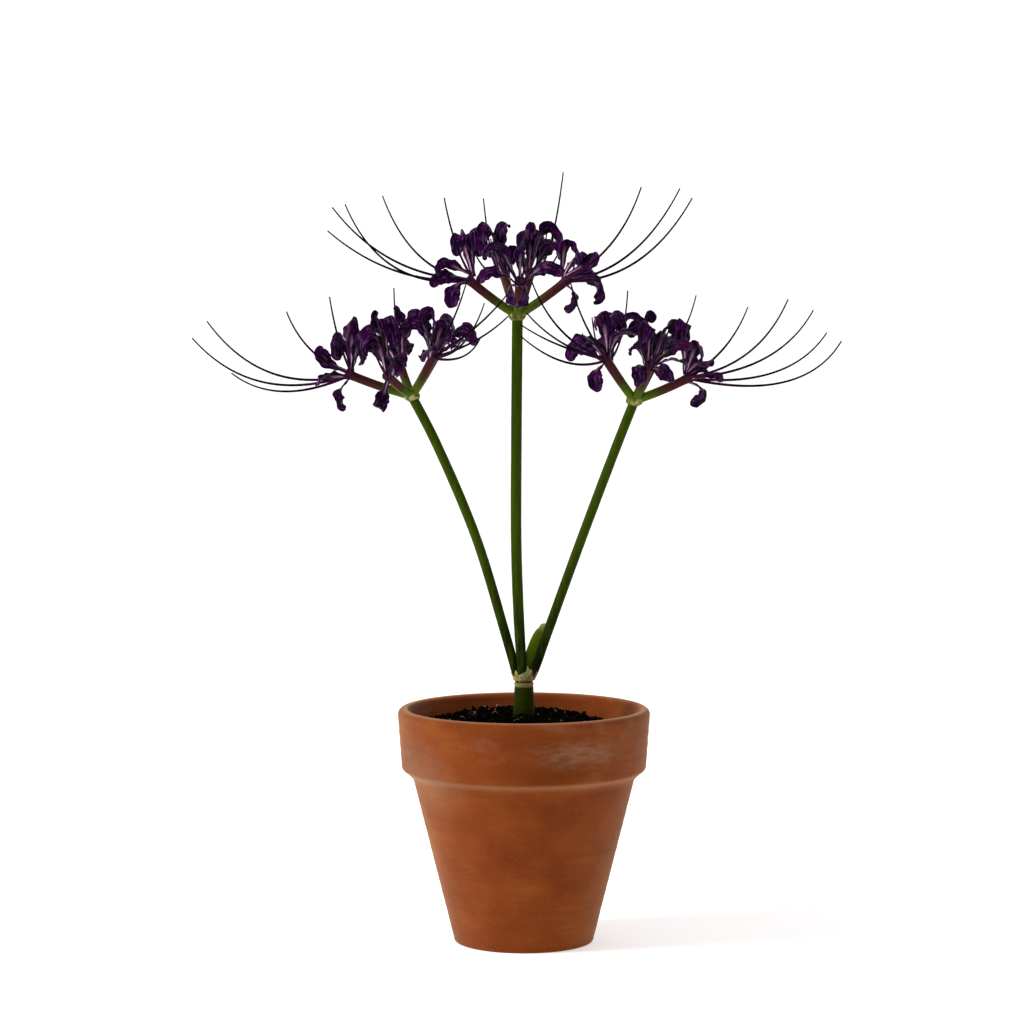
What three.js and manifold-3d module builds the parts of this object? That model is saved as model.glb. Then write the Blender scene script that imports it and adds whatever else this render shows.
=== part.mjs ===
// A potted spider flower: a clay pot of soil, a short green neck with a papery collar,
// three flower stalks, and a head of five spidery blooms on each stalk.
// Millimetres, +Z up. +X is to the viewer's right and -Y points at the viewer.

import * as THREE from 'three';
import { mergeVertices } from 'three/addons/utils/BufferGeometryUtils.js';
import Module from 'manifold-3d';

const wasm = await Module();
wasm.setup();

// Driving dimensions

const GAP = 0.3; // left between pieces that touch

const POT = {
  height: 142,
  rimRadius: 76,
  bandFootRadius: 73.7,
  bandHeight: 38,
  shoulderRadius: 66.8,
  shoulderHeight: 99.5,
  footRadius: 42.3,
  wall: 7.5,
  floor: 9,
  drainRadius: 6,
  footRound: 2,
  bandRound: 3,
  bandTuck: -75, // degrees, where the round under the band meets the body
  innerFlare: 2, // the wall is this much thinner at the foot
  innerCorner: 3, // bevel between the floor and the inside of the wall
  roundSteps: 3,
  lipSteps: 6,
  segments: 44,
};
const INNER_FOOT_RADIUS = POT.footRadius - POT.wall + POT.innerFlare;

const SOIL = {
  moundHeight: 137.4, // around the neck
  edgeHeight: 129.2, // against the pot wall
  plateau: 28, // radius at which the mound starts to fall away
  lean: 0.03, // the bed falls by this share to the right
  lump: 1.3,
  lumpWaves: { x: 0.23, y: 0.27, xPhase: 1.3, yPhase: 0.4 }, // radians to a millimetre
  crumbWaves: { slantX: 0.61, slantY: 0.47, crossX: 0.35, crossY: 0.71 },
  crumbs: [0.6, 0.5], // height of the crumb waves beside a lump
  footInset: 1,
  rings: 7,
  segments: 30,
};

const NECK = {
  buried: 96, // height of its lower end, in the soil
  soilRadius: 6.75,
  topRadius: 5.65,
  top: 155.6,
  ringRadius: 6.0,
  ringHeight: 1.7,
  grooveRadius: 5.3,
  grooveHeight: 1.1, // the brown scar between the ring and the collar
  endInset: 2,
  endRise: 3,
  ringSwell: 0.3, // shares of the ring's height at which it is full
  ringFade: 0.8,
  segments: 16,
};

const COLLAR = {
  bottom: 158.7,
  top: 163.6,
  bottomRadius: 6.1,
  topRadius: 7.5,
  heart: 168, // top of the pale tissue that fills the fork of the stalks
  heartRadius: 4,
  heartRise: 0.6,
  edgeRise: 0.8,
  bottomInset: 0.6,
  topInset: 0.5,
  segments: 16,
};

const STALK = { sides: 10, steps: 11, rootShare: 0.2 };

const RECEPTACLE = { halfWidth: 5.2, halfHeight: 3.6, segments: 10, rings: 6 };

const PEDICEL = {
  rootRadius: 3.0,
  throatRadius: 2.9,
  greenShare: 0.45, // the green part belongs to the stalk, the rest to the bloom
  bow: 1,
  samples: 4,
  sides: 8,
  steps: 2,
};

const TEPAL = {
  clawHalfWidth: 1.6,
  bladeHalfWidth: 4.6,
  clawShare: 0.1,
  hangingClaw: 0.34, // the claw's share on a tepal that hangs well below the throat
  hangFrom: 2, // mm below the throat, where the claw begins to lengthen
  hangTo: 12,
  widestAt: 0.62,
  roundedTo: 1.05, // where the round of the tip would close
  bluntness: 4.2, // power of the round of the tip
  thickness: 1.1,
  rootDepth: 3.5, // sunk into the throat
  rootRadius: 1.9,
  crinkle: 0.8,
  crinkleWaves: 2,
  channel: 0.25,
  flatPlane: 12, // mm2: below this a crest and tip lie in one line from the throat
  twist: 40, // degrees, from the claw to the blade, where a tepal names no twist of its own
  twistFrom: 0.1,
  twistTo: 0.7,
  steps: 6,
};

const STAMEN = {
  chord: 88,
  rootRadius: 0.85,
  tipRadius: 0.36,
  rootDepth: 4,
  bendHeight: -4, // over the throat, where a stamen names no height of its own
  bendShare: 0.6, // how far out it runs before it turns up, likewise
  sides: 3,
  steps: 7,
};

const LEAF = {
  path: [[2.4, 4.6, 160], [3.4, 5.4, 170], [5.8, 5.8, 178], [9.4, 6.2, 185], [12, 6.6, 189]],
  rootHalfWidth: 1.4,
  halfWidth: 3.8,
  fullBy: 0.5,
  tipTaper: 0.8,
  tipPower: 6, // the taper comes late, so the tip is blunt
  edgeLift: 0.8,
  halfThickness: 0.7,
  steps: 8,
};

// Finishes

const clay = new THREE.MeshStandardMaterial({ color: 0xa5623a, roughness: 0.85, metalness: 0 });
const earth = new THREE.MeshStandardMaterial({ color: 0x1a110b, roughness: 1, metalness: 0 });
const stalkGreen = new THREE.MeshStandardMaterial({ color: 0x3a5216, roughness: 0.5, metalness: 0 });
const leafGreen = new THREE.MeshStandardMaterial({ color: 0x55691a, roughness: 0.5, metalness: 0 });
const papery = new THREE.MeshStandardMaterial({ color: 0xa99a68, roughness: 0.8, metalness: 0 });
const petalViolet = new THREE.MeshStandardMaterial({ color: 0x2c0d3f, roughness: 0.55, metalness: 0 });

// Solids and meshes

function solidOf(geometry) {
  const bare = geometry.clone();
  bare.deleteAttribute('normal');
  bare.deleteAttribute('uv');
  const merged = mergeVertices(bare, 1e-4);
  return new wasm.Manifold(new wasm.Mesh({
    numProp: 3,
    vertProperties: new Float32Array(merged.attributes.position.array),
    triVerts: new Uint32Array(merged.index.array),
  }));
}

function joined(solids) {
  return solids.reduce((whole, solid) => whole.add(solid));
}

// The largest body of a solid: scraps that a cut leaves loose are dropped.
function mainBody(solid) {
  return solid.decompose().reduce((best, body) => (body.volume() > best.volume() ? body : best));
}

function meshOf(name, solid, material) {
  const { vertProperties, triVerts } = solid.getMesh();
  const geometry = new THREE.BufferGeometry();
  geometry.setAttribute('position', new THREE.BufferAttribute(new Float32Array(vertProperties), 3));
  geometry.setIndex(new THREE.BufferAttribute(new Uint32Array(triVerts), 1));
  geometry.computeVertexNormals();
  const mesh = new THREE.Mesh(geometry, material);
  mesh.name = name;
  return mesh;
}

const mix = (from, to, share) => from + (to - from) * share;
const vector = ([x, y, z]) => new THREE.Vector3(x, y, z);
const smooth = (from, to, value) => THREE.MathUtils.smoothstep(value, from, to);

// Points on an arc in the half plane of a lathe, as [radius, height].
function arc(centreRadius, centreHeight, radius, fromDegrees, toDegrees, steps) {
  const points = [];
  for (let i = 0; i <= steps; i += 1) {
    const angle = THREE.MathUtils.degToRad(mix(fromDegrees, toDegrees, i / steps));
    points.push([centreRadius + radius * Math.cos(angle), centreHeight + radius * Math.sin(angle)]);
  }
  return points;
}

// A lathe about +Z. A profile that runs out along its underside and back over its top faces out.
function turned(profile, segments) {
  const points = profile.map(([radius, height]) => new THREE.Vector2(radius, height));
  return new THREE.LatheGeometry(points, segments).rotateX(Math.PI / 2);
}

// A straight cylinder bent along a curve, with its radius given along the way.
function taperedTube(curve, radiusAt, sides, steps) {
  const geometry = new THREE.CylinderGeometry(1, 1, 1, sides, steps);
  const frames = curve.computeFrenetFrames(steps);
  const position = geometry.attributes.position;
  const unit = new THREE.Vector3();
  for (let i = 0; i < position.count; i += 1) {
    unit.fromBufferAttribute(position, i);
    const share = 0.5 - unit.y;
    const step = Math.round(share * steps);
    const radius = radiusAt(share);
    const point = curve.getPointAt(share);
    point.addScaledVector(frames.normals[step], radius * unit.x);
    point.addScaledVector(frames.binormals[step], radius * unit.z);
    position.setXYZ(i, point.x, point.y, point.z);
  }
  return geometry;
}

// A thin blade: three points across on each row, its two faces split into triangles alike,
// and both faces sharing the points round its edge.
function blade(rows) {
  const last = rows.length - 1;
  const points = [];
  const upper = [];
  const lower = [];
  const place = (point) => points.push(point.x, point.y, point.z) / 3 - 1;
  rows.forEach((row, i) => {
    const left = row.centre.clone().addScaledVector(row.across, -row.halfWidth);
    left.addScaledVector(row.normal, row.leftLift);
    const right = row.centre.clone().addScaledVector(row.across, row.halfWidth);
    right.addScaledVector(row.normal, row.rightLift);
    const leftIndex = place(left);
    const rightIndex = place(right);
    const half = i === 0 || i === last ? 0 : row.halfThickness;
    const topIndex = place(row.centre.clone().addScaledVector(row.normal, half));
    const isEnd = half === 0;
    const underside = row.centre.clone().addScaledVector(row.normal, -half);
    const bottomIndex = isEnd ? topIndex : place(underside);
    upper.push([leftIndex, topIndex, rightIndex]);
    lower.push([leftIndex, bottomIndex, rightIndex]);
  });
  const index = [];
  for (let i = 0; i < last; i += 1) {
    for (const side of [0, 1]) {
      const [a, b] = [upper[i][side], upper[i][side + 1]];
      const [c, d] = [upper[i + 1][side], upper[i + 1][side + 1]];
      index.push(a, b, d, a, d, c);
      const [e, f] = [lower[i][side], lower[i][side + 1]];
      const [g, h] = [lower[i + 1][side], lower[i + 1][side + 1]];
      index.push(e, h, f, e, g, h);
    }
  }
  const geometry = new THREE.BufferGeometry();
  geometry.setAttribute('position', new THREE.BufferAttribute(new Float32Array(points), 3));
  geometry.setIndex(index);
  return geometry;
}

// Pot

function potSolid() {
  const { height, rimRadius, bandFootRadius, shoulderRadius, shoulderHeight } = POT;
  const { footRadius, footRound, bandRound, bandTuck, wall, floor, drainRadius } = POT;
  const { innerCorner, roundSteps, lipSteps } = POT;
  const bandFoot = height - POT.bandHeight;
  const lipRound = wall / 2;
  const lipCentre = rimRadius - lipRound;
  const profile = [
    [drainRadius, 0],
    ...arc(footRadius - footRound, footRound, footRound, -90, 0, roundSteps),
    [shoulderRadius, shoulderHeight],
    ...arc(bandFootRadius - bandRound, bandFoot + bandRound, bandRound, bandTuck, 0, roundSteps),
    ...arc(lipCentre, height - lipRound, lipRound, 0, 180, lipSteps),
    [INNER_FOOT_RADIUS, floor + innerCorner],
    [INNER_FOOT_RADIUS - innerCorner, floor],
    [drainRadius, floor],
    [drainRadius, 0],
  ];
  return solidOf(turned(profile, POT.segments));
}

// Radius of the pot's inner wall at a height.
function innerRadius(height) {
  const low = POT.floor + POT.innerCorner;
  const high = POT.height - POT.wall / 2;
  const share = (height - low) / (high - low);
  return mix(INNER_FOOT_RADIUS, POT.rimRadius - POT.wall, share);
}

// Soil, with a low mound round the neck and lumps over it

function soilHeight(x, y) {
  const radius = Math.hypot(x, y);
  const reach = innerRadius(SOIL.edgeHeight);
  const fall = smooth(SOIL.plateau, reach, radius);
  const base = mix(SOIL.moundHeight, SOIL.edgeHeight, fall);
  const { lumpWaves, crumbWaves, crumbs } = SOIL;
  const coarse = Math.sin(x * lumpWaves.x + lumpWaves.xPhase) * Math.sin(y * lumpWaves.y + lumpWaves.yPhase);
  const slant = Math.sin(x * crumbWaves.slantX - y * crumbWaves.slantY);
  const cross = Math.cos(y * crumbWaves.crossY + x * crumbWaves.crossX);
  const fine = crumbs[0] * slant + crumbs[1] * cross;
  return base - SOIL.lean * x + SOIL.lump * (coarse + fine);
}

function soilSolid() {
  const bottom = POT.floor + GAP;
  const knee = POT.floor + POT.innerCorner;
  const edge = innerRadius(SOIL.edgeHeight) - GAP * 2;
  const profile = [
    [0, bottom],
    [INNER_FOOT_RADIUS - POT.innerCorner - SOIL.footInset, bottom],
    [innerRadius(knee) - GAP * 2, knee + SOIL.footInset],
  ];
  for (let ring = SOIL.rings; ring >= 0; ring -= 1) {
    profile.push([edge * (ring / SOIL.rings), SOIL.edgeHeight]);
  }
  const geometry = turned(profile, SOIL.segments);
  const position = geometry.attributes.position;
  for (let i = 0; i < position.count; i += 1) {
    if (position.getZ(i) > SOIL.edgeHeight - 1) {
      const [x, y] = [position.getX(i), position.getY(i)];
      const atWall = Math.hypot(x, y) > edge - 1;
      position.setZ(i, atWall ? SOIL.edgeHeight : soilHeight(x, y));
    }
  }
  return solidOf(geometry);
}

// Neck: the short green stem that stands in the soil, with a pale ring at its top

function neckSolid(grow) {
  const { buried, soilRadius, topRadius, top, ringRadius, ringHeight, grooveRadius } = NECK;
  const { endInset, endRise, ringSwell, ringFade } = NECK;
  const grooveTop = top + ringHeight + NECK.grooveHeight;
  const low = buried - grow;
  const profile = [
    [0, low],
    [soilRadius - endInset, low],
    [soilRadius + grow, low + endRise],
    [soilRadius + grow, SOIL.moundHeight],
    [topRadius + grow, top],
    [ringRadius + grow, top + ringHeight * ringSwell],
    [ringRadius + grow, top + ringHeight * ringFade],
    [grooveRadius + grow, top + ringHeight],
    [grooveRadius + grow, grooveTop],
    [0, grooveTop],
  ];
  return solidOf(turned(profile, NECK.segments));
}

// Stalks, each with its receptacle and the green roots of its pedicels

const STALKS = {
  left: {
    path: [[-3.7, 1.4, 159.6], [-6.6, 1.8, 170], [-11.3, 2.6, 186.6], [-29, 5.5, 244.7], [-53.6, 9, 302.5],
      [-67.6, 11, 329.5]],
    radius: 2.9,
    rootRadius: 2.8,
  },
  centre: {
    path: [[-0.6, -1.2, 159], [-2.6, -1.4, 186.6], [-4.6, -1.6, 237.5], [-4.6, -1.8, 303.7], [-4, -2, 377.9]],
    radius: 3.25,
    rootRadius: 3.0,
  },
  right: {
    path: [[3.9, 1.4, 159.6], [6.8, 1.2, 166], [13.9, 0, 186.6], [34.6, -4, 244.7], [56.1, -8, 302.5],
      [65.9, -10, 327.7]],
    radius: 2.9,
    rootRadius: 2.8,
  },
};

function stalkCurve(side) {
  return new THREE.CatmullRomCurve3(STALKS[side].path.map(vector));
}

function stalkSolid(side, grow) {
  const { radius, rootRadius } = STALKS[side];
  const radiusAt = (share) => mix(rootRadius, radius, smooth(0, STALK.rootShare, share)) + grow;
  return solidOf(taperedTube(stalkCurve(side), radiusAt, STALK.sides, STALK.steps));
}

function receptacleOf(side) {
  return vector(STALKS[side].path.at(-1));
}

function receptacleSolid(side, grow) {
  const { halfWidth, halfHeight, segments, rings } = RECEPTACLE;
  const geometry = new THREE.SphereGeometry(1, segments, rings).rotateX(Math.PI / 2);
  geometry.scale(halfWidth + grow, halfWidth + grow, halfHeight + grow);
  const place = receptacleOf(side);
  geometry.translate(place.x, place.y, place.z);
  return solidOf(geometry);
}

// Blooms. A throat is measured from its receptacle, and the axis is the way the bloom faces.
// A tepal is its crest and its tip, [x, y, z, x, y, z] from the throat: it rises to the crest
// and rolls over to the tip. A seventh number is its own twist, in degrees.
// A stamen is [x, z, side]: its tip from the throat, nearer the viewer with -1 and further away
// with 1, by the depth that brings it to its full chord. A fourth number is the height of its
// bend over the throat, and a fifth how far out it runs before it turns up.

const BLOOMS = {
  left: [
    {
      throat: [-39.5, -6, 14],
      axis: [-0.9, -0.15, 0.2],
      tepals: [
        [-8, -4, 5, -14.5, -8, 13, 20], [3.5, -3, 28.5, 1, -8, 23], [-9, -2, -2, -15.5, -5, -4],
        [-3, -6, -11, -2.5, -8, -18.5, 75], [8, -2, 18, 10, -6, 8, 10], [-2, 3, 21, -5, 5, 11],
      ],
      stamens: [
        [-83, 31, -1, -15], [-92, 21, 1, -21], [-63.5, 2, -1, -20], [-30.5, 38, -1, 10, 0.7],
        [-5.5, 46.5, -1, 20],
      ],
    },
    {
      throat: [-14, -26, 13.5],
      axis: [-0.2, -0.75, 0.55],
      tepals: [
        [-2, -8, -12, -4, -9, -18, 0], [6, -7, 6, 10, -9, 11], [-7, -5, 24, -15, -10, 19],
        [-1, -3, 33, 4.5, -8, 20, 25], [4, -9, 9, 7, -14, 3, 30], [-6, 0, 18, -12, -4, 15, 60],
      ],
      stamens: [[-6, 22, -1, 9], [8, 16, -1, 7], [0, 30, -1, 12]],
    },
    {
      throat: [14.5, -20, 26],
      axis: [0.45, -0.6, 0.6],
      tepals: [
        [-8, -4, 17, -18, -8, 14], [-1, 2, 22.5, -6, 4, 20.5], [5, -1, 17, 9, -5, 10.5],
        [13, -4, 12.5, 22.5, -7, 8.5], [11, -2, 6, 20, -3, 8, 15], [-3, -12, 2.5, -6, -20, -0.6],
      ],
      stamens: [[20, 44, -1, 17], [43.5, 23.5, -1, 6], [43, 36, -1, 14], [28, 12, -1, -5.5, 0.73]],
    },
    {
      throat: [15, 24, 25],
      axis: [0.45, 0.6, 0.6],
      tepals: [
        [-10, -1, 18.5, -17, 3, 22.5], [5, 3, 20, 9, 6, 14], [12, 8, 13, 20, 12, 11],
        [6, 13, 10, 9, 21, 5], [-1, 12, 13, 1, 21, 10], [-7, 9, 15, -15, 12, 18],
      ],
      stamens: [[28, 29, 1], [6, 18, 1], [16, 10, 1], [-8, 26, 1]],
    },
    {
      throat: [-8, 26, 19],
      axis: [-0.25, 0.55, 0.7],
      tepals: [
        [-11, -3, 17, -15, -2, 28, 75], [2, 2, 22, 4, -3, 19, 50], [1, 1, 29, -1, -4, 26, 60],
        [-11, 6, 13, -17, 9, 10], [-3, 13, 11, -6, 20, 6], [3, 10, 13, 5, 18, 8],
      ],
      stamens: [[-6, 44.5, 1], [-30, 22, 1], [-12, 14, 1], [-22, 10, 1]],
    },
  ],
  centre: [
    {
      throat: [-30, -7, 22.5],
      axis: [-0.9, -0.25, 0.25],
      tepals: [
        [-9.5, -3, 1, -18, -6, -2, 65], [-11, -5, 8.5, -17, -9, 5], [-3, -3, 24, -5.5, -7, 17, 30],
        [1.5, 2, 25, 3, -2, 20, 30], [-6.5, -9, -5, -8.5, -12, -14, 30], [0, 5, 23, -1, 11, 21],
      ],
      stamens: [
        [-82, 28, -1, -5, 0.54], [-80, 42, 1, 0], [-71, 43.5, -1, -9, 0.7], [-52, 49.5, 1, 2, 0.65],
        [-12, 46.5, -1, 17],
      ],
    },
    {
      throat: [1.5, -21, 22],
      axis: [0, -0.55, 0.8],
      tepals: [
        [-13, -5, 4, -22, -8, 1], [12.5, -6, 6, 22, -8, 4.5], [3.5, -8, -6, 1.5, -10, -14.5, 25],
        [-11, -2, 17, -20, -4, 15], [0, -4, 17, 2, -8, 27, 0], [-6, -8, -5, -4, -10, -14, 20],
      ],
      stamens: [[-14, 22, -1, 9], [4, 14, -1, 6], [20, 26, -1, 10]],
    },
    {
      throat: [30.5, -5, 22],
      axis: [0.9, -0.2, 0.3],
      tepals: [
        [-1.5, -2, 21, 6, -5, 12.5], [9, -5, 8, 15.5, -8, 13], [15, -2, 0, 17.5, -4, -12],
        [3.5, -6, -9, 0.5, -8, -17, 0], [4, 9, 12, 9, 17, 9], [10, 8, 1, 16, 16, -1],
      ],
      stamens: [[41, 53.5, -1, 14, 0.7], [67, 54, 1, 2], [73, 48, -1, -4], [6, 16, 1]],
    },
    {
      throat: [8.5, 21, 27],
      axis: [0.3, 0.5, 0.8],
      tepals: [
        [8, 0, 25, 17, -2, 16], [0, 2, 21, 2, 1, 25, -45], [10, -2, 13, 17, -4, 10],
        [10, 9, 15, 16, 14, 13], [3, 13, 16, 5, 21, 13], [-7, 12, 12, -12, 19, 7],
      ],
      stamens: [[20, 60, 1], [10, 22, 1], [20, 16, 1]],
    },
    {
      throat: [-8.5, 21, 26],
      axis: [-0.3, 0.5, 0.8],
      tepals: [
        [-8, -1, 25.5, -12, -5, 19], [-1.5, 0, 20, 1, 2, 28, 22], [-9, -3, 15, -14, -6, 13],
        [-12, 4, 20, -18, 7, 20], [-6, 13, 14, -9, 20, 12], [3, 13, 13, 6, 21, 8],
      ],
      stamens: [[-12.5, 45, 1], [-8, 20, 1], [-20, 16, 1]],
    },
  ],
  right: [
    {
      throat: [-19, -21, 27],
      axis: [-0.5, -0.6, 0.55],
      tepals: [
        [-11.5, -4, 10.5, -19, -8, 1], [-9, -5, 3, -16, -8, 2], [-5, -8, -10, -4, -10, -16.5, 45],
        [-1, -4, 23, -5, -9, 19], [8, -4, 12, 19.5, -7, 14], [5, 1, 23, 10, -2, 18],
      ],
      stamens: [
        [-49, 20, -1, 6], [-45.5, 26.5, -1, 5], [-43, 45, -1, 10, 0.7], [-20.5, 43, -1, 19, 0.7],
        [-49, 13.5, -1, -10.5, 0.46],
      ],
    },
    {
      throat: [8, -23, 22],
      axis: [0.15, -0.75, 0.55],
      tepals: [
        [0, -4, 22, -4, -9, 16], [-6, -5, 11, -11, -8, 9.5], [11, -5, 3, 20, -8, 1.5, 15],
        [6, -8, -3, 10, -10, -7], [-6, -8, -1, -6, -10, -9, 50], [12, -4, 9, 21, -6, 11],
      ],
      stamens: [[-10, 20, -1, 8], [8, 24, -1, 9], [14, 18, -1, 7]],
    },
    {
      throat: [33.5, -6, 14.5],
      axis: [0.9, -0.15, 0.2],
      tepals: [
        [3, -2, 18.5, 5.5, -6, 12], [9, -4, 0.5, 15, -6, 0, 60], [7, 9, 6, 10, 16, 8],
        [6.5, -3, -8, 3, -6, -14], [-4, -1, 30, -6, -4, 24], [4, 9, 7, 7, 16, 5],
      ],
      stamens: [
        [38, 40, 1, 10, 0.65], [53, 46.5, -1, 6, 0.7], [69, 40, -1, 2.5, 0.72], [82, 25.5, 1, -9, 0.72],
        [89, 21, 1, -17, 0.75],
      ],
    },
    {
      throat: [14, 22, 25],
      axis: [0.4, 0.6, 0.65],
      tepals: [
        [-6, 0, 20, -4, 2, 24], [6.5, 1, 18.5, 11, -3, 14], [11, 7, 14, 17, 11, 12],
        [5, 13, 12, 8, 20, 8], [-4, 12, 12, -8, 20, 8], [-8, 6, 16, -14, 9, 15],
      ],
      stamens: [[27.5, 36, 1, 6, 0.7], [-4, 22, 1], [10, 12, 1], [-8, 16, 1]],
    },
    {
      throat: [-17, 22, 25],
      axis: [-0.45, 0.6, 0.65],
      tepals: [
        [10, -1, 21, 20.5, 0, 22.5], [2, 1, 20.5, 5, 3, 22.5], [-9, 4, 9, -14, 7, 5],
        [-6, 11, 8, -9, 19, 6], [-1, 13, 11, -2, 21, 8], [5, 11, 14, 8, 18, 12],
      ],
      stamens: [[16, 39, 1, 4, 0.85], [-6, 22, 1], [-12, 12, 1], [4, 18, 1]],
    },
  ],
};

function throatOf(side, bloom) {
  return receptacleOf(side).add(vector(bloom.throat));
}

// A pedicel spreads from the receptacle in a slight bow, on the side its bloom faces.
function pedicelCurve(side, bloom) {
  const root = receptacleOf(side);
  const throat = throatOf(side, bloom);
  const bend = root.clone().lerp(throat, 0.5);
  bend.addScaledVector(vector(bloom.axis).normalize(), PEDICEL.bow);
  return new THREE.QuadraticBezierCurve3(root, bend, throat);
}

// A stretch of a curve, from one share of its length to another.
function stretch(curve, from, to, steps) {
  const points = [];
  for (let i = 0; i <= steps; i += 1) {
    points.push(curve.getPointAt(mix(from, to, i / steps)));
  }
  return new THREE.CatmullRomCurve3(points);
}

function pedicelRadius(share) {
  return mix(PEDICEL.rootRadius, PEDICEL.throatRadius, share);
}

function pedicelPart(side, bloom, from, to, grow) {
  const piece = stretch(pedicelCurve(side, bloom), from, to, PEDICEL.samples);
  const radiusAt = (share) => pedicelRadius(mix(from, to, share)) + grow;
  return solidOf(taperedTube(piece, radiusAt, PEDICEL.sides, PEDICEL.steps));
}

function tepalHalfWidth(share, clawShare) {
  const { clawHalfWidth, bladeHalfWidth, widestAt, roundedTo } = TEPAL;
  if (share < widestAt) return mix(clawHalfWidth, bladeHalfWidth, smooth(clawShare, widestAt, share));
  const beyond = (share - widestAt) / (roundedTo - widestAt);
  return bladeHalfWidth * Math.sqrt(1 - beyond ** TEPAL.bluntness);
}

function tepalSolid(throat, axis, points, handed, grow) {
  const crest = vector(points.slice(0, 3));
  const tip = vector(points.slice(3, 6));
  const ownTwist = points[6] ?? TEPAL.twist;
  const hanging = smooth(TEPAL.hangFrom, TEPAL.hangTo, -tip.z);
  const clawShare = mix(TEPAL.clawShare, TEPAL.hangingClaw, hanging);
  const plane = crest.clone().cross(tip);
  const across = plane.length() > TEPAL.flatPlane ? plane : axis.clone().cross(tip);
  across.normalize();
  const outward = crest.clone().projectOnPlane(axis).normalize();
  const root = axis.clone().multiplyScalar(-TEPAL.rootDepth).addScaledVector(outward, TEPAL.rootRadius);
  const bend = crest.clone().multiplyScalar(2).addScaledVector(root, -0.5).addScaledVector(tip, -0.5);
  const curve = new THREE.QuadraticBezierCurve3(root, bend, tip);
  const phase = crest.x + tip.z;
  const rows = [];
  for (let i = 0; i <= TEPAL.steps; i += 1) {
    const share = i / TEPAL.steps;
    const along = curve.getTangentAt(share);
    const turn = handed * smooth(TEPAL.twistFrom, TEPAL.twistTo, share);
    const twist = THREE.MathUtils.degToRad(ownTwist) * turn;
    const side = across.clone().projectOnPlane(along).normalize().applyAxisAngle(along, twist);
    const halfWidth = tepalHalfWidth(share, clawShare) + grow;
    const edgeShare = halfWidth / TEPAL.bladeHalfWidth;
    const wave = TEPAL.crinkle * edgeShare * Math.sin(share * TEPAL.crinkleWaves * 2 * Math.PI + phase);
    const droop = halfWidth * TEPAL.channel * (2 * share - 1);
    const past = grow * 2 * (i === TEPAL.steps ? 1 : 0);
    rows.push({
      centre: curve.getPointAt(share).add(throat).addScaledVector(along, past),
      across: side,
      normal: side.clone().cross(along),
      halfWidth,
      leftLift: wave - droop,
      rightLift: -wave - droop,
      halfThickness: TEPAL.thickness / 2 + grow,
    });
  }
  return solidOf(blade(rows));
}

function stamenSolid(throat, axis, row, grow) {
  const [x, z, side, bendHeight = STAMEN.bendHeight, bendShare = STAMEN.bendShare] = row;
  const depth = side * Math.sqrt(Math.max(STAMEN.chord ** 2 - x * x - z * z, 0));
  const tip = throat.clone().add(new THREE.Vector3(x, depth, z));
  const root = throat.clone().addScaledVector(axis, -STAMEN.rootDepth);
  const bend = throat.clone().add(new THREE.Vector3(x * bendShare, depth * bendShare, bendHeight));
  const curve = new THREE.QuadraticBezierCurve3(root, bend, tip);
  const radiusAt = (share) => mix(STAMEN.rootRadius, STAMEN.tipRadius, share) + grow;
  return solidOf(taperedTube(curve, radiusAt, STAMEN.sides, STAMEN.steps));
}

// The petals, stamens and coloured tube of one bloom, as separate solids.
function bloomParts(side, bloom, grow) {
  const throat = throatOf(side, bloom);
  const axis = vector(bloom.axis).normalize();
  const curve = pedicelCurve(side, bloom);
  const start = PEDICEL.greenShare + (GAP - grow) / curve.getLength();
  return {
    tube: pedicelPart(side, bloom, start, 1, grow),
    petals: joined(bloom.tepals.map((tepal, i) => tepalSolid(throat, axis, tepal, i % 2 ? 1 : -1, grow))),
    stamens: joined(bloom.stamens.map((stamen) => stamenSolid(throat, axis, stamen, grow))),
  };
}

function stalkAndRoots(side, grow) {
  const roots = BLOOMS[side].map((bloom) => pedicelPart(side, bloom, 0, PEDICEL.greenShare, grow));
  return joined([stalkSolid(side, grow), receptacleSolid(side, grow), ...roots]);
}

// Leaf: one short blunt leaf behind the right stalk

function leafSolid(grow) {
  const { rootHalfWidth, fullBy, tipTaper, tipPower, edgeLift, steps } = LEAF;
  const curve = new THREE.CatmullRomCurve3(LEAF.path.map(vector));
  const rows = [];
  for (let i = 0; i <= steps; i += 1) {
    const share = i / steps;
    const tangent = curve.getTangentAt(share);
    const normal = new THREE.Vector3(0, 1, 0).projectOnPlane(tangent).normalize();
    const widening = mix(rootHalfWidth, LEAF.halfWidth, smooth(0, fullBy, share));
    const halfWidth = widening * Math.sqrt(1 - tipTaper * share ** tipPower) + grow;
    const past = grow * 2 * ((i === steps ? 1 : 0) - (i === 0 ? 1 : 0));
    rows.push({
      centre: curve.getPointAt(share).addScaledVector(tangent, past),
      across: tangent.clone().cross(normal),
      normal,
      halfWidth,
      leftLift: edgeLift,
      rightLift: edgeLift,
      halfThickness: LEAF.halfThickness + grow,
    });
  }
  return solidOf(blade(rows));
}

// Collar: the papery remains round the stalks' roots, with the pale tissue that fills their fork

function collarSolid() {
  const { bottom, top, bottomRadius, topRadius, heart, heartRadius } = COLLAR;
  const { heartRise, edgeRise, bottomInset, topInset } = COLLAR;
  const profile = [
    [0, bottom],
    [bottomRadius - bottomInset, bottom],
    [bottomRadius, bottom + edgeRise],
    [topRadius, top - edgeRise],
    [topRadius - topInset, top],
    [heartRadius, top + heartRise],
    [0, heart],
  ];
  return solidOf(turned(profile, COLLAR.segments));
}

// Assembly

const sides = ['left', 'centre', 'right'];
const pieces = [];
const add = (name, solid, material) => pieces.push(meshOf(name, solid, material));

add('pot', potSolid(), clay);
add('soil', soilSolid().subtract(neckSolid(GAP)), earth);
add('neck', neckSolid(0), stalkGreen);

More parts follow.
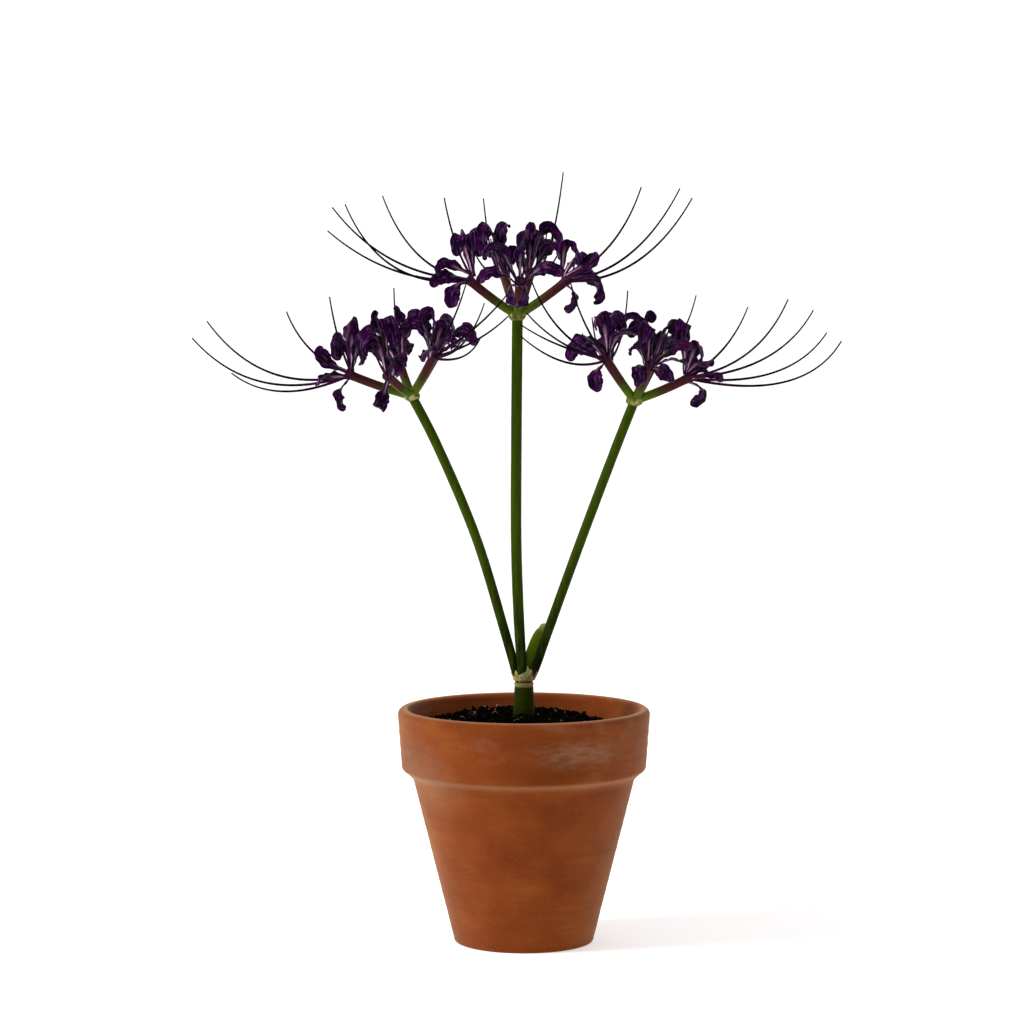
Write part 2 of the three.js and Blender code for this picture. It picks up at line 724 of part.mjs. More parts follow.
const centreCut = stalkSolid('centre', GAP);
for (const side of sides) {
  const whole = stalkAndRoots(side, 0);
  const clear = side === 'centre' ? whole : mainBody(whole.subtract(centreCut));
  add(`stalk_${side}`, clear, stalkGreen);
}

const stalkCuts = joined(sides.map((side) => stalkAndRoots(side, GAP)));
add('leaf', mainBody(leafSolid(0).subtract(stalkCuts)), leafGreen);
const rootCuts = stalkCuts.add(stalkCuts.translate([0, 0, COLLAR.bottom - COLLAR.top]));
add('collar', mainBody(collarSolid().subtract(rootCuts).subtract(leafSolid(GAP))), papery);

// A petal is cut clear of the stamens of every other bloom, and of the petals made before it.
const blooms = sides.flatMap((side) => BLOOMS[side].map((bloom, i) => ({
  name: `bloom_${side}_${i + 1}`,
  parts: bloomParts(side, bloom, 0),
  cuts: bloomParts(side, bloom, GAP),
})));
blooms.forEach(({ name, parts, cuts }, place) => {
  let petals = parts.petals.subtract(stalkCuts);
  blooms.forEach((other, otherPlace) => {
    if (otherPlace !== place) petals = petals.subtract(other.cuts.stamens).subtract(other.cuts.tube);
    if (otherPlace < place) petals = petals.subtract(other.cuts.petals);
  });
  add(name, mainBody(joined([parts.tube, petals, parts.stamens])), petalViolet);
});

// The origin is at the bottom centre of the whole plant's box.
const plant = new THREE.Group();
plant.add(...pieces);
const box = new THREE.Box3().setFromObject(plant);
const middle = box.getCenter(new THREE.Vector3());
plant.position.set(-middle.x, -middle.y, -box.min.z);

export default plant;
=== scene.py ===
# A potted spider flower: the finer pieces, colours and light for the packed clay pot, soil,
# neck, stalks, leaf, collar and fifteen blooms. Sizes are millimetres from the pot's own axis,
# and place() turns them into the metres of the frame.
import math
import random

import bmesh
import bpy
from mathutils import Euler, Matrix, Quaternion, Vector, noise


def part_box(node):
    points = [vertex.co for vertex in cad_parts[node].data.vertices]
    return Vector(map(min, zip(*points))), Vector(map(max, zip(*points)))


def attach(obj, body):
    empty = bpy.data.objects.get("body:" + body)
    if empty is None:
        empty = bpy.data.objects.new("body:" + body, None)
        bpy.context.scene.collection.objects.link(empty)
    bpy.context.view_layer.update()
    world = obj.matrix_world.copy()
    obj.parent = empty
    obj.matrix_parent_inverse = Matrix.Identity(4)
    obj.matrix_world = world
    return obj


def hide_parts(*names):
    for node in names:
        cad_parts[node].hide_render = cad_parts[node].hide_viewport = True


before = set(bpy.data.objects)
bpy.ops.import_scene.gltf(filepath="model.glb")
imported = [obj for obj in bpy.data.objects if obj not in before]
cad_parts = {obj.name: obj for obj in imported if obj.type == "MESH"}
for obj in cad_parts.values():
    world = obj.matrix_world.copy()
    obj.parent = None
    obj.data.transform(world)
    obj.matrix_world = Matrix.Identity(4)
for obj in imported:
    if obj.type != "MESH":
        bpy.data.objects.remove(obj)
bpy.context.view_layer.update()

MM = 0.001
TURN = 2 * math.pi
pot_low, pot_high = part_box("pot")
POT_AXIS = Vector(((pot_low.x + pot_high.x) / 2, (pot_low.y + pot_high.y) / 2, 0))

# Driving dimensions, in millimetres. They are near those of the solids. The collar is another
# shape, the pedicels are thinner, the leaf is thinner and bends over less, the tepals are a little
# wider and round off sooner, and the stamens are a little thicker.

POT = {
    "height": 142, "rim_radius": 76, "band_foot_radius": 73.7, "band_height": 38,
    "shoulder_radius": 66.8, "shoulder_height": 99.5, "foot_radius": 42.3, "wall": 7.5,
    "floor": 9, "drain_radius": 6, "foot_round": 2, "band_round": 3, "band_tuck": -75,
    "inner_flare": 2, "inner_corner": 3, "segments": 160, "body_rows": 46, "band_rows": 18,
    "ring_depth": 0.14,  # how deep the potter's fingers left the throwing rings
    # The rings are an uneven drift up the wall with a steady wave in it.
    "ring_seed": (0.3, 0.7), "ring_drift": 0.42, "ring_wave": 0.5, "ring_pitch": 0.9,
}
SOIL = {
    "mound_height": 137.4, "edge_height": 129.2, "plateau": 28, "lean": 0.03, "lump": 1.3,
    "clearance": 0.5, "neck_clearance": 0.15, "socket_drop": 0.3, "foot_corner": 4, "top_skin": 1,
    "rings": 46, "segments": 128,
    # The waves of its surface, in radians to a millimetre: one broad swell and two fine ripples.
    "swell_x": 0.23, "swell_y": 0.27, "swell_x_phase": 1.3, "swell_y_phase": 0.4,
    "slant_x": 0.61, "slant_y": 0.47, "slant_share": 0.6,
    "cross_x": 0.35, "cross_y": 0.71, "cross_share": 0.5,
    "grain": 0.9, "clod": 0.33, "fine_clod": 1.1, "fine_share": 0.6,  # roughness of its surface
    "crumbs": 1300, "crumb_least": 0.45, "crumb_spread": 1.5, "crumb_bias": 2.4,
    "crumb_width": (0.7, 1.3), "crumb_height": (0.45, 0.9),
    "grit": 46, "grit_size": (0.35, 0.85), "grit_lift": 0.9,
    "fibres": 60, "fibre_inset": 6, "fibre_length": (2, 5), "fibre_arch": (1.5, 3.2),
    "fibre_end": (-0.5, 1.2), "fibre_radius": 0.16,
}
NECK = {
    "buried": 96, "soil_radius": 6.75, "top_radius": 5.65, "top": 155.6, "ring_radius": 6.0,
    "ring_height": 1.7, "groove_radius": 5.3, "groove_height": 1.1, "segments": 64, "rows": 26,
    "buried_inset": 2, "buried_rise": 3, "crease": 0.07, "creases": 17,
    "ring_round": 0.75, "ring_middle": 0.85, "ring_arc": 70,
}
# The collar is two bracts and the heart of pale tissue between them.
COLLAR = {
    "foot": 158.3, "foot_radius": 5.7, "flare": 0.42, "top_radius": 7.9, "thickness": 0.5,
    "low": 2.4, "torn": 1.6, "tears": 11,  # the lowest edge, its ragged teeth and how close they are
    "buckle": 0.22, "buckles_round": 8, "buckles_up": 3,  # how the drying tissue has warped
    # Where the edge stands up between the stalks: its bearing, how wide it spreads, its height.
    "tongues": [(90, 50, 3.0), (180, 40, 3.2), (232, 16, 4.4), (303, 20, 5.4), (362, 34, 3.4)],
    "heart_foot": (0, 0, 158), "heart_top": (0.4, 0.6, 169), "heart_radius": 5.0,
    "heart_least": 0.3, "heart_round": 2.2, "heart_lobes": 5, "heart_lobe_depth": 0.04,
}
STALKS = {
    "left": {
        "path": [(-3.7, 1.4, 159.6), (-6.6, 1.8, 170), (-11.3, 2.6, 186.6), (-29, 5.5, 244.7),
                 (-53.6, 9, 302.5), (-67.6, 11, 329.5)],
        "radius": 2.9, "root_radius": 2.8,
    },
    "centre": {
        "path": [(-0.6, -1.2, 159), (-2.6, -1.4, 186.6), (-4.6, -1.6, 237.5), (-4.6, -1.8, 303.7),
                 (-4, -2, 377.9)],
        "radius": 3.25, "root_radius": 3.0,
    },
    "right": {
        "path": [(3.9, 1.4, 159.6), (6.8, 1.2, 166), (13.9, 0, 186.6), (34.6, -4, 244.7),
                 (56.1, -8, 302.5), (65.9, -10, 327.7)],
        "radius": 2.9, "root_radius": 2.8,
    },
}
STALK_SHAPE = {"root_share": 0.2, "waver": 0.06, "wavers": 22, "ribs": 9, "rib_depth": 0.012}
RECEPTACLE = {
    "half_width": 5.2, "half_height": 3.6, "knobs": 0.12, "knobs_per_metre": 420,
    "scar_point": 9, "scar_drop": 2.2, "scar_size": (0.9, 1.4),
}
PEDICEL = {
    "root_radius": 2.6, "throat_radius": 2.7, "green_share": 0.45, "bow": 0.4, "sag": 1.6,
    "ribs": 6, "root_rib_depth": 0.02, "tube_rib_depth": 0.03,
    "flare": 0.5, "flare_from": 0.7,  # the tube opens at the throat
}
TEPAL = {
    "claw_half": 1.6, "blade_half": 4.7, "claw_share": 0.1, "widest_at": 0.6, "rounded_to": 1.0,
    "hanging_claw": 0.34, "hang_from": 2, "hang_to": 12,  # a hanging tepal's claw is longer
    "thickness": 1.1, "root_depth": 3.5, "root_radius": 1.9, "crinkle": 0.8, "waves": 2,
    "channel": 0.25, "flat_plane": 12, "twist": 40, "twist_from": 0.1, "twist_to": 0.7,
    "curl_radius": 2.8, "curl_degrees": 75, "ruffle": 0.6, "ruffles": 4, "ruffle_offset": 1.9,
    "pucker": 0.9, "pucker_scale": 0.4, "notch": 0.05, "notches": 6,
    "blunt": 4.2, "tip_least": 0.04,  # a high power keeps the tip broad until it rounds
    "bloom_phase": 2.1, "tepal_phase": 1.3,  # so that no two tepals of a head are ruffled alike
}
STAMEN = {
    "chord": 88, "root_radius": 0.9, "tip_radius": 0.42, "root_depth": 4, "bend_share": 0.6,
    "bend_height": -4,
}
LEAF = {
    "path": [(2.4, 4.6, 160), (3.8, 5.4, 170), (6.2, 5.8, 178), (8.8, 6.2, 185), (10.9, 6.6, 190)],
    "root_half": 1.4, "half_width": 3.8, "full_by": 0.5, "tip_taper": 0.8, "tip_power": 6,
    "thickness": 1.2, "keel": 0.9, "hook_radius": 1.3, "hook_degrees": 150,
    "hook_from": 0.87,  # the share of the whole leaf at which its tip begins to hook
}

# Blooms as in the solids, but for the twist of the left head's first tepal: a throat is measured
# from its receptacle and the axis is the way the bloom faces. A tepal is its crest and its tip,
# with a seventh number where it has a twist of its own. A stamen is its tip's x and z and the side
# it leans to, then where its own is given, the height of its bend and how far out it turns up.
BLOOMS = {
    "left": [
        {
            "throat": (-39.5, -6, 14), "axis": (-0.9, -0.15, 0.2),
            "tepals": [(-8, -4, 5, -14.5, -8, 13, 75), (3.5, -3, 28.5, 1, -8, 23),
                       (-9, -2, -2, -15.5, -5, -4), (-3, -6, -11, -2.5, -8, -18.5, 75),
                       (8, -2, 18, 10, -6, 8, 10), (-2, 3, 21, -5, 5, 11)],
            "stamens": [(-83, 31, -1, -15), (-92, 21, 1, -21), (-63.5, 2, -1, -20),
                        (-30.5, 38, -1, 10, 0.7), (-5.5, 46.5, -1, 20)],
        },
        {
            "throat": (-14, -26, 13.5), "axis": (-0.2, -0.75, 0.55),
            "tepals": [(-2, -8, -12, -4, -9, -18, 0), (6, -7, 6, 10, -9, 11),
                       (-7, -5, 24, -15, -10, 19), (-1, -3, 33, 4.5, -8, 20, 25),
                       (4, -9, 9, 7, -14, 3, 30), (-6, 0, 18, -12, -4, 15, 60)],
            "stamens": [(-6, 22, -1, 9), (8, 16, -1, 7), (0, 30, -1, 12)],
        },
        {
            "throat": (14.5, -20, 26), "axis": (0.45, -0.6, 0.6),
            "tepals": [(-8, -4, 17, -18, -8, 14), (-1, 2, 22.5, -6, 4, 20.5),
                       (5, -1, 17, 9, -5, 10.5), (13, -4, 12.5, 22.5, -7, 8.5),
                       (11, -2, 6, 20, -3, 8, 15), (-3, -12, 2.5, -6, -20, -0.6)],
            "stamens": [(20, 44, -1, 17), (43.5, 23.5, -1, 6), (43, 36, -1, 14), (28, 12, -1, -5.5, 0.73)],
        },
        {
            "throat": (15, 24, 25), "axis": (0.45, 0.6, 0.6),
            "tepals": [(-10, -1, 18.5, -17, 3, 22.5), (5, 3, 20, 9, 6, 14), (12, 8, 13, 20, 12, 11),
                       (6, 13, 10, 9, 21, 5), (-1, 12, 13, 1, 21, 10), (-7, 9, 15, -15, 12, 18)],
            "stamens": [(28, 29, 1), (6, 18, 1), (16, 10, 1), (-8, 26, 1)],
        },
        {
            "throat": (-8, 26, 19), "axis": (-0.25, 0.55, 0.7),
            "tepals": [(-11, -3, 17, -15, -2, 28, 75), (2, 2, 22, 4, -3, 19, 50), (1, 1, 29, -1, -4, 26, 60),
                       (-11, 6, 13, -17, 9, 10), (-3, 13, 11, -6, 20, 6), (3, 10, 13, 5, 18, 8)],
            "stamens": [(-6, 44.5, 1), (-30, 22, 1), (-12, 14, 1), (-22, 10, 1)],
        },
    ],
    "centre": [
        {
            "throat": (-30, -7, 22.5), "axis": (-0.9, -0.25, 0.25),
            "tepals": [(-9.5, -3, 1, -18, -6, -2, 65), (-11, -5, 8.5, -17, -9, 5),
                       (-3, -3, 24, -5.5, -7, 17, 30), (1.5, 2, 25, 3, -2, 20, 30),
                       (-6.5, -9, -5, -8.5, -12, -14, 30), (0, 5, 23, -1, 11, 21)],
            "stamens": [(-82, 28, -1, -5, 0.54), (-80, 42, 1, 0), (-71, 43.5, -1, -9, 0.7),
                        (-52, 49.5, 1, 2, 0.65), (-12, 46.5, -1, 17)],
        },
        {
            "throat": (1.5, -21, 22), "axis": (0, -0.55, 0.8),
            "tepals": [(-13, -5, 4, -22, -8, 1), (12.5, -6, 6, 22, -8, 4.5),
                       (3.5, -8, -6, 1.5, -10, -14.5, 25), (-11, -2, 17, -20, -4, 15),
                       (0, -4, 17, 2, -8, 27, 0), (-6, -8, -5, -4, -10, -14, 20)],
            "stamens": [(-14, 22, -1, 9), (4, 14, -1, 6), (20, 26, -1, 10)],
        },
        {
            "throat": (30.5, -5, 22), "axis": (0.9, -0.2, 0.3),
            "tepals": [(-1.5, -2, 21, 6, -5, 12.5), (9, -5, 8, 15.5, -8, 13), (15, -2, 0, 17.5, -4, -12),
                       (3.5, -6, -9, 0.5, -8, -17, 0), (4, 9, 12, 9, 17, 9), (10, 8, 1, 16, 16, -1)],
            "stamens": [(41, 53.5, -1, 14, 0.7), (67, 54, 1, 2), (73, 48, -1, -4), (6, 16, 1)],
        },
        {
            "throat": (8.5, 21, 27), "axis": (0.3, 0.5, 0.8),
            "tepals": [(8, 0, 25, 17, -2, 16), (0, 2, 21, 2, 1, 25, -45), (10, -2, 13, 17, -4, 10),
                       (10, 9, 15, 16, 14, 13), (3, 13, 16, 5, 21, 13), (-7, 12, 12, -12, 19, 7)],
            "stamens": [(20, 60, 1), (10, 22, 1), (20, 16, 1)],
        },
        {
            "throat": (-8.5, 21, 26), "axis": (-0.3, 0.5, 0.8),
            "tepals": [(-8, -1, 25.5, -12, -5, 19), (-1.5, 0, 20, 1, 2, 28, 22), (-9, -3, 15, -14, -6, 13),
                       (-12, 4, 20, -18, 7, 20), (-6, 13, 14, -9, 20, 12), (3, 13, 13, 6, 21, 8)],
            "stamens": [(-12.5, 45, 1), (-8, 20, 1), (-20, 16, 1)],
        },
    ],
    "right": [
        {
            "throat": (-19, -21, 27), "axis": (-0.5, -0.6, 0.55),
            "tepals": [(-11.5, -4, 10.5, -19, -8, 1), (-9, -5, 3, -16, -8, 2),
                       (-5, -8, -10, -4, -10, -16.5, 45), (-1, -4, 23, -5, -9, 19),
                       (8, -4, 12, 19.5, -7, 14), (5, 1, 23, 10, -2, 18)],
            "stamens": [(-49, 20, -1, 6), (-45.5, 26.5, -1, 5), (-43, 45, -1, 10, 0.7),
                        (-20.5, 43, -1, 19, 0.7), (-49, 13.5, -1, -10.5, 0.46)],
        },
        {
            "throat": (8, -23, 22), "axis": (0.15, -0.75, 0.55),
            "tepals": [(0, -4, 22, -4, -9, 16), (-6, -5, 11, -11, -8, 9.5), (11, -5, 3, 20, -8, 1.5, 15),
                       (6, -8, -3, 10, -10, -7), (-6, -8, -1, -6, -10, -9, 50), (12, -4, 9, 21, -6, 11)],
            "stamens": [(-10, 20, -1, 8), (8, 24, -1, 9), (14, 18, -1, 7)],
        },
        {
            "throat": (33.5, -6, 14.5), "axis": (0.9, -0.15, 0.2),
            "tepals": [(3, -2, 18.5, 5.5, -6, 12), (9, -4, 0.5, 15, -6, 0, 60), (7, 9, 6, 10, 16, 8),
                       (6.5, -3, -8, 3, -6, -14), (-4, -1, 30, -6, -4, 24), (4, 9, 7, 7, 16, 5)],
            "stamens": [(38, 40, 1, 10, 0.65), (53, 46.5, -1, 6, 0.7), (69, 40, -1, 2.5, 0.72),
                        (82, 25.5, 1, -9, 0.72), (89, 21, 1, -17, 0.75)],
        },
        {
            "throat": (14, 22, 25), "axis": (0.4, 0.6, 0.65),
            "tepals": [(-6, 0, 20, -4, 2, 24), (6.5, 1, 18.5, 11, -3, 14), (11, 7, 14, 17, 11, 12),
                       (5, 13, 12, 8, 20, 8), (-4, 12, 12, -8, 20, 8), (-8, 6, 16, -14, 9, 15)],
            "stamens": [(27.5, 36, 1, 6, 0.7), (-4, 22, 1), (10, 12, 1), (-8, 16, 1)],
        },
        {
            "throat": (-17, 22, 25), "axis": (-0.45, 0.6, 0.65),
            "tepals": [(10, -1, 21, 20.5, 0, 22.5), (2, 1, 20.5, 5, 3, 22.5), (-9, 4, 9, -14, 7, 5),
                       (-6, 11, 8, -9, 19, 6), (-1, 13, 11, -2, 21, 8), (5, 11, 14, 8, 18, 12)],
            "stamens": [(16, 39, 1, 4, 0.85), (-6, 22, 1), (-12, 12, 1), (4, 18, 1)],
        },
    ],
}


# Places and curves


def place(point):
    """A point in millimetres from the pot's axis, as metres in the frame."""
    return POT_AXIS + Vector(point) * MM


def mix(start, end, share):
    return start + (end - start) * share


def smooth(start, end, value):
    share = min(max((value - start) / (end - start), 0), 1)
    return share * share * (3 - 2 * share)


def bezier(root, bend, tip, count=60):
    shares = [i / count for i in range(count + 1)]
    return [root * (1 - s) ** 2 + bend * 2 * s * (1 - s) + tip * s * s for s in shares]


def through(points, count=24):
    """A smooth line through points, with its knots spaced by the root of their distance."""
    points = [Vector(point) for point in points]
    ends = [points[0] * 2 - points[1], *points, points[-1] * 2 - points[-2]]
    line = [points[0]]
    for before, start, end, after in zip(ends, ends[1:], ends[2:], ends[3:]):
        first = math.sqrt((start - before).length)
        span = math.sqrt((end - start).length)
        last = math.sqrt((after - end).length)
        away = (start - before) / first - (end - before) / (first + span) + (end - start) / span
        into = (end - start) / span - (after - start) / (span + last) + (after - end) / last
        for i in range(1, count + 1):
            s = i / count
            line.append(
                start * (2 * s**3 - 3 * s**2 + 1) + away * span * (s**3 - 2 * s**2 + s)
                + end * (3 * s**2 - 2 * s**3) + into * span * (s**3 - s**2)
            )
    return line


def even(line, count, start=0.0, end=1.0):
    """Points spaced evenly along a line, from one share of its length to another."""
    lengths = [0.0]
    for a, b in zip(line, line[1:]):
        lengths.append(lengths[-1] + (b - a).length)
    made = []
    spot = 0
    for i in range(count + 1):
        wanted = lengths[-1] * mix(start, end, i / count)
        while spot < len(line) - 2 and lengths[spot + 1] < wanted:
            spot += 1
        gap = lengths[spot + 1] - lengths[spot]
        made.append(line[spot].lerp(line[spot + 1], (wanted - lengths[spot]) / gap))
    return made


def directions(line):
    ends = [line[0] * 2 - line[1], *line, line[-1] * 2 - line[-2]]
    return [(after - before).normalized() for before, after in zip(ends, ends[2:])]


def curled(line, radius, degrees, steps):
    """A line carried on past its end in an arc that turns the way the line already turns."""
    way = (line[-1] - line[-2]).normalized()
    turn_axis = (line[len(line) // 2] - line[0]).cross(line[-1] - line[len(line) // 2]).normalized()
    angle = math.radians(degrees) / steps
    made = list(line)
    for _ in range(steps):
        way = Quaternion(turn_axis, angle) @ way
        made.append(made[-1] + way * radius * angle)
    return made


# Making meshes


def skin(work, sides, steps, at, finish=0):
    """A closed skin over at(turn, share): turn runs round it and share along it, both 0 to 1.
    Each end is drawn in to a point by at, and the seam is welded."""
    uv = work.loops.layers.uv.verify()
    made = bmesh.ops.create_grid(work, x_segments=sides, y_segments=steps, size=1)["verts"]
    for face in {face for vert in made for face in vert.link_faces}:
        face.material_index = finish
        face.smooth = True
        for loop in face.loops:
            loop[uv].uv = ((loop.vert.co.x + 1) / 2, (loop.vert.co.y + 1) / 2)
    for vert in made:
        vert.co = place(at((vert.co.x + 1) / 2, (vert.co.y + 1) / 2))
    bmesh.ops.remove_doubles(work, verts=made, dist=1e-6)


def sleeve(work, line, sides, at, finish=0):
    """A closed skin along a line: at(turn, step) goes round each point of it, and the first and the
    last point are its ends."""
    rows = len(line) + 1

    def spot(turn, share):
        row = round(share * rows)
        step = min(max(row - 1, 0), len(line) - 1)
        return line[step] if row in (0, rows) else at(turn, step)

    skin(work, sides, rows, spot, finish)


def tube(work, line, radius_at, sides, finish=0, ridges=0, ridge_depth=0.0):
    """A round skin along a line, closed at both ends."""
    ways = directions(line)
    side = ways[0].orthogonal().normalized()
    frames = []
    for way in ways:
        side = (side - way * side.dot(way)).normalized()
        frames.append((side.copy(), way.cross(side)))

    def at(turn, step):
        angle = TURN * turn
        radius = radius_at(step / (len(line) - 1)) * (1 + ridge_depth * math.cos(ridges * angle))
        return line[step] + (frames[step][0] * math.cos(angle) + frames[step][1] * math.sin(angle)) * radius

    sleeve(work, line, sides, at, finish)


def spun(work, profile, segments):
    """A closed ring turned about the pot's axis from [radius, height] points."""
    verts = [work.verts.new(place((radius, 0, height))) for radius, height in profile]
    edges = [work.edges.new(pair) for pair in zip(verts, verts[1:])]
    bmesh.ops.spin(work, geom=verts + edges, cent=POT_AXIS, axis=(0, 0, 1), dvec=(0, 0, 0),
                   angle=TURN, steps=segments, use_merge=True, use_duplicate=False)
    bmesh.ops.remove_doubles(work, verts=work.verts[:], dist=1e-6)


def arc(centre_radius, centre_height, radius, start, end, steps):
    angles = [math.radians(mix(start, end, i / steps)) for i in range(steps + 1)]
    return [(centre_radius + radius * math.cos(a), centre_height + radius * math.sin(a)) for a in angles]


def finished(name, work, materials, replaces=()):
    """Makes the mesh in work a piece that rides with the plant, its normals turned outwards."""
    bmesh.ops.recalc_face_normals(work, faces=work.faces[:])
    for face in work.faces:
        face.smooth = True
    mesh = bpy.data.meshes.new(name)
    work.to_mesh(mesh)
    work.free()
    for material in materials:
        mesh.materials.append(material)
    piece = bpy.data.objects.new(name, mesh)
    bpy.context.scene.collection.objects.link(piece)
    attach(piece, "root")
    if replaces:
        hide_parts(*replaces)


# Making materials


def linear(code):
    """An sRGB hex colour as linear light."""
    parts = [int(code[i:i + 2], 16) / 255 for i in (0, 2, 4)]
    return [p / 12.92 if p <= 0.04045 else ((p + 0.055) / 1.055) ** 2.4 for p in parts] + [1]


def add(tree, kind, links=None, stops=None, **settings):
    """Adds a node. links gives its sockets a value or another node's socket, and stops its ramp."""
    made = tree.nodes.new(kind)
    for name, value in settings.items():
        setattr(made, name, value)
    for socket, value in (links or {}).items():
        if isinstance(value, bpy.types.NodeSocket):
            tree.links.new(value, made.inputs[socket])
        else:
            made.inputs[socket].default_value = value
    if stops:
        while len(made.color_ramp.elements) < len(stops):
            made.color_ramp.elements.new(0.5)
        for element, (position, code) in zip(made.color_ramp.elements, stops):
            element.position = position
            element.color = linear(code)
    return made


def begin(name, **sockets):
    """A new material with its own shader, and its texture coordinates. sockets gives the shader's
    constant values, with an underscore for each space in a socket's name."""
    made = bpy.data.materials.new(name)
    made.use_nodes = True
    tree = made.node_tree
    shader = tree.nodes["Principled BSDF"]
    for socket, value in sockets.items():
        shader.inputs[socket.replace("_", " ")].default_value = value
    coords = tree.nodes.new("ShaderNodeTexCoord")
    return made, tree, shader, coords


def surface(tree, shader, colour, height=None, strength=0.0, depth_mm=0.0):
    """Gives the shader its colour and, where the surface has a relief, the bump of its height."""
    tree.links.new(colour, shader.inputs["Base Color"])
    if height is not None:
        bump = add(tree, "ShaderNodeBump",
                   {"Height": height, "Strength": strength, "Distance": depth_mm * MM})
        tree.links.new(bump.outputs["Normal"], shader.inputs["Normal"])


def stained(tree, base, pattern, low, high, most, code):
    """The colour base, with another over it where pattern runs from low to high: most is the share
    of it at high."""
    share = add(tree, "ShaderNodeMapRange",
                {"Value": pattern, "From Min": low, "From Max": high, "To Max": most}).outputs[0]
    return add(tree, "ShaderNodeMix", {0: share, 6: base, 7: linear(code)}, data_type="RGBA").outputs[2]


def grain(tree, coords, cell_mm, stretch=(1, 1, 1), detail=4):
    """Noise whose grains are about cell_mm across, drawn out along an axis by a stretch under 1."""
    spread = add(tree, "ShaderNodeMapping", {"Vector": coords, "Scale": stretch})
    cells = add(tree, "ShaderNodeTexNoise",
                {"Vector": spread.outputs["Vector"], "Scale": 1 / (cell_mm * MM), "Detail": detail})
    return cells.outputs["Fac"]


# Fired terracotta, thrown and left unglazed: matt and dusty, with finger rings, a fine grit
# speckle, and pale lime bloom where water has dried on the band. Its sheen is the dust in the
# pores, which catches light where the wall turns away from the eye.
def terracotta():
    made, tree, shader, coords = begin(
        "fired_terracotta", Roughness=0.88, Specular_IOR_Level=0.08,
        Sheen_Weight=0.27, Sheen_Roughness=0.45, Sheen_Tint=linear("f0dcba"))
    point = coords.outputs["Object"]
    clouds = grain(tree, point, 30, (1, 1, 1.2))
    coloured = add(tree, "ShaderNodeValToRGB", {"Fac": clouds},
                   stops=[(0.28, "642a07"), (0.5, "71330b"), (0.74, "7d4013")]).outputs["Color"]
    rings = grain(tree, point, 30, (1, 1, 12), 3)
    speckle = grain(tree, point, 1.1, detail=2)  # real grit is finer, and drawn as coarse as it shows
    coloured = stained(tree, coloured, rings, 0.4, 0.68, 0.3, "602906")
    coloured = stained(tree, coloured, speckle, 0.56, 0.74, 0.22, "8f5731")

    height = add(tree, "ShaderNodeSeparateXYZ", {"Vector": point}).outputs["Z"]
    on_band = add(tree, "ShaderNodeMapRange",
                  {"Value": height, "From Min": 96 * MM, "From Max": 112 * MM}).outputs[0]
    lime = grain(tree, point, 38, (1, 1, 1.8), 4)
    lime = add(tree, "ShaderNodeMapRange", {"Value": lime, "From Min": 0.58, "From Max": 0.8,
                                            "To Max": 0.35}).outputs[0]
    lime = add(tree, "ShaderNodeMath", {0: lime, 1: on_band}, operation="MULTIPLY").outputs[0]
    # The widest patch of bloom lies on the front of the band, right of its middle, and a thinner
    # one round its left side runs down over the shoulder. The kiln burnt the clay between them.
    # Each patch is its middle, its reach along x, y and z, and how much it shows.
    patches = []
    for middle, reach, most in (((34, -67, 123), (38, 34, 11), 0.46), ((-62, -42, 104), (34, 34, 28), 0.3),
                                ((10, -74, 111), (48, 30, 13), 0.9)):
        patch = add(tree, "ShaderNodeMapping", {"Vector": point, "Location": -place(middle)}).outputs[0]
        patch = add(tree, "ShaderNodeVectorMath", {0: patch, 1: [1 / (side * MM) for side in reach]},
                    operation="MULTIPLY").outputs[0]
        patch = add(tree, "ShaderNodeVectorMath", {0: patch}, operation="LENGTH").outputs["Value"]
        patches.append(add(tree, "ShaderNodeMapRange",
                           {"Value": patch, "From Min": 1.15, "From Max": 0.1, "To Max": most},
                           interpolation_type="SMOOTHSTEP").outputs[0])
    front, left, burnt = patches
    coloured = add(tree, "ShaderNodeMix", {0: burnt, 6: coloured, 7: linear("632904")},
                   data_type="RGBA").outputs[2]
    worn = grain(tree, point, 8, (1, 1, 3.2), 6)
    worn = add(tree, "ShaderNodeMapRange", {"Value": worn, "From Min": 0.35, "From Max": 0.62}).outputs[0]
    for patch, thinnest in ((front, 0.22), (left, 0.7)):
        hazy = add(tree, "ShaderNodeMapRange", {"Value": worn, "To Min": thinnest}).outputs[0]
        hazy = add(tree, "ShaderNodeMath", {0: patch, 1: hazy}, operation="MULTIPLY").outputs[0]
        lime = add(tree, "ShaderNodeMath", {0: lime, 1: hazy}, operation="MAXIMUM").outputs[0]
    coloured = add(tree, "ShaderNodeMix", {0: lime, 6: coloured, 7: linear("8e7059")},
                   data_type="RGBA").outputs[2]
    # Painted highlights make the clay paler on two edges: under the band, and along the top of the lip.
    for low, high, most in ((100.6, 106.0, 0.24), (140.9, 144.1, 0.6)):
        middle = (low + high) / 2 * MM
        away = add(tree, "ShaderNodeMath", {0: height, 1: middle}, operation="SUBTRACT").outputs[0]
        away = add(tree, "ShaderNodeMath", {0: away}, operation="ABSOLUTE").outputs[0]
        coloured = stained(tree, coloured, away, (high - low) / 2 * MM, 0, most, "a3714c")
    relief = add(tree, "ShaderNodeMath", {0: rings, 1: speckle}, operation="ADD").outputs[0]
    surface(tree, shader, coloured, relief, 0.35, 0.5)
    return made


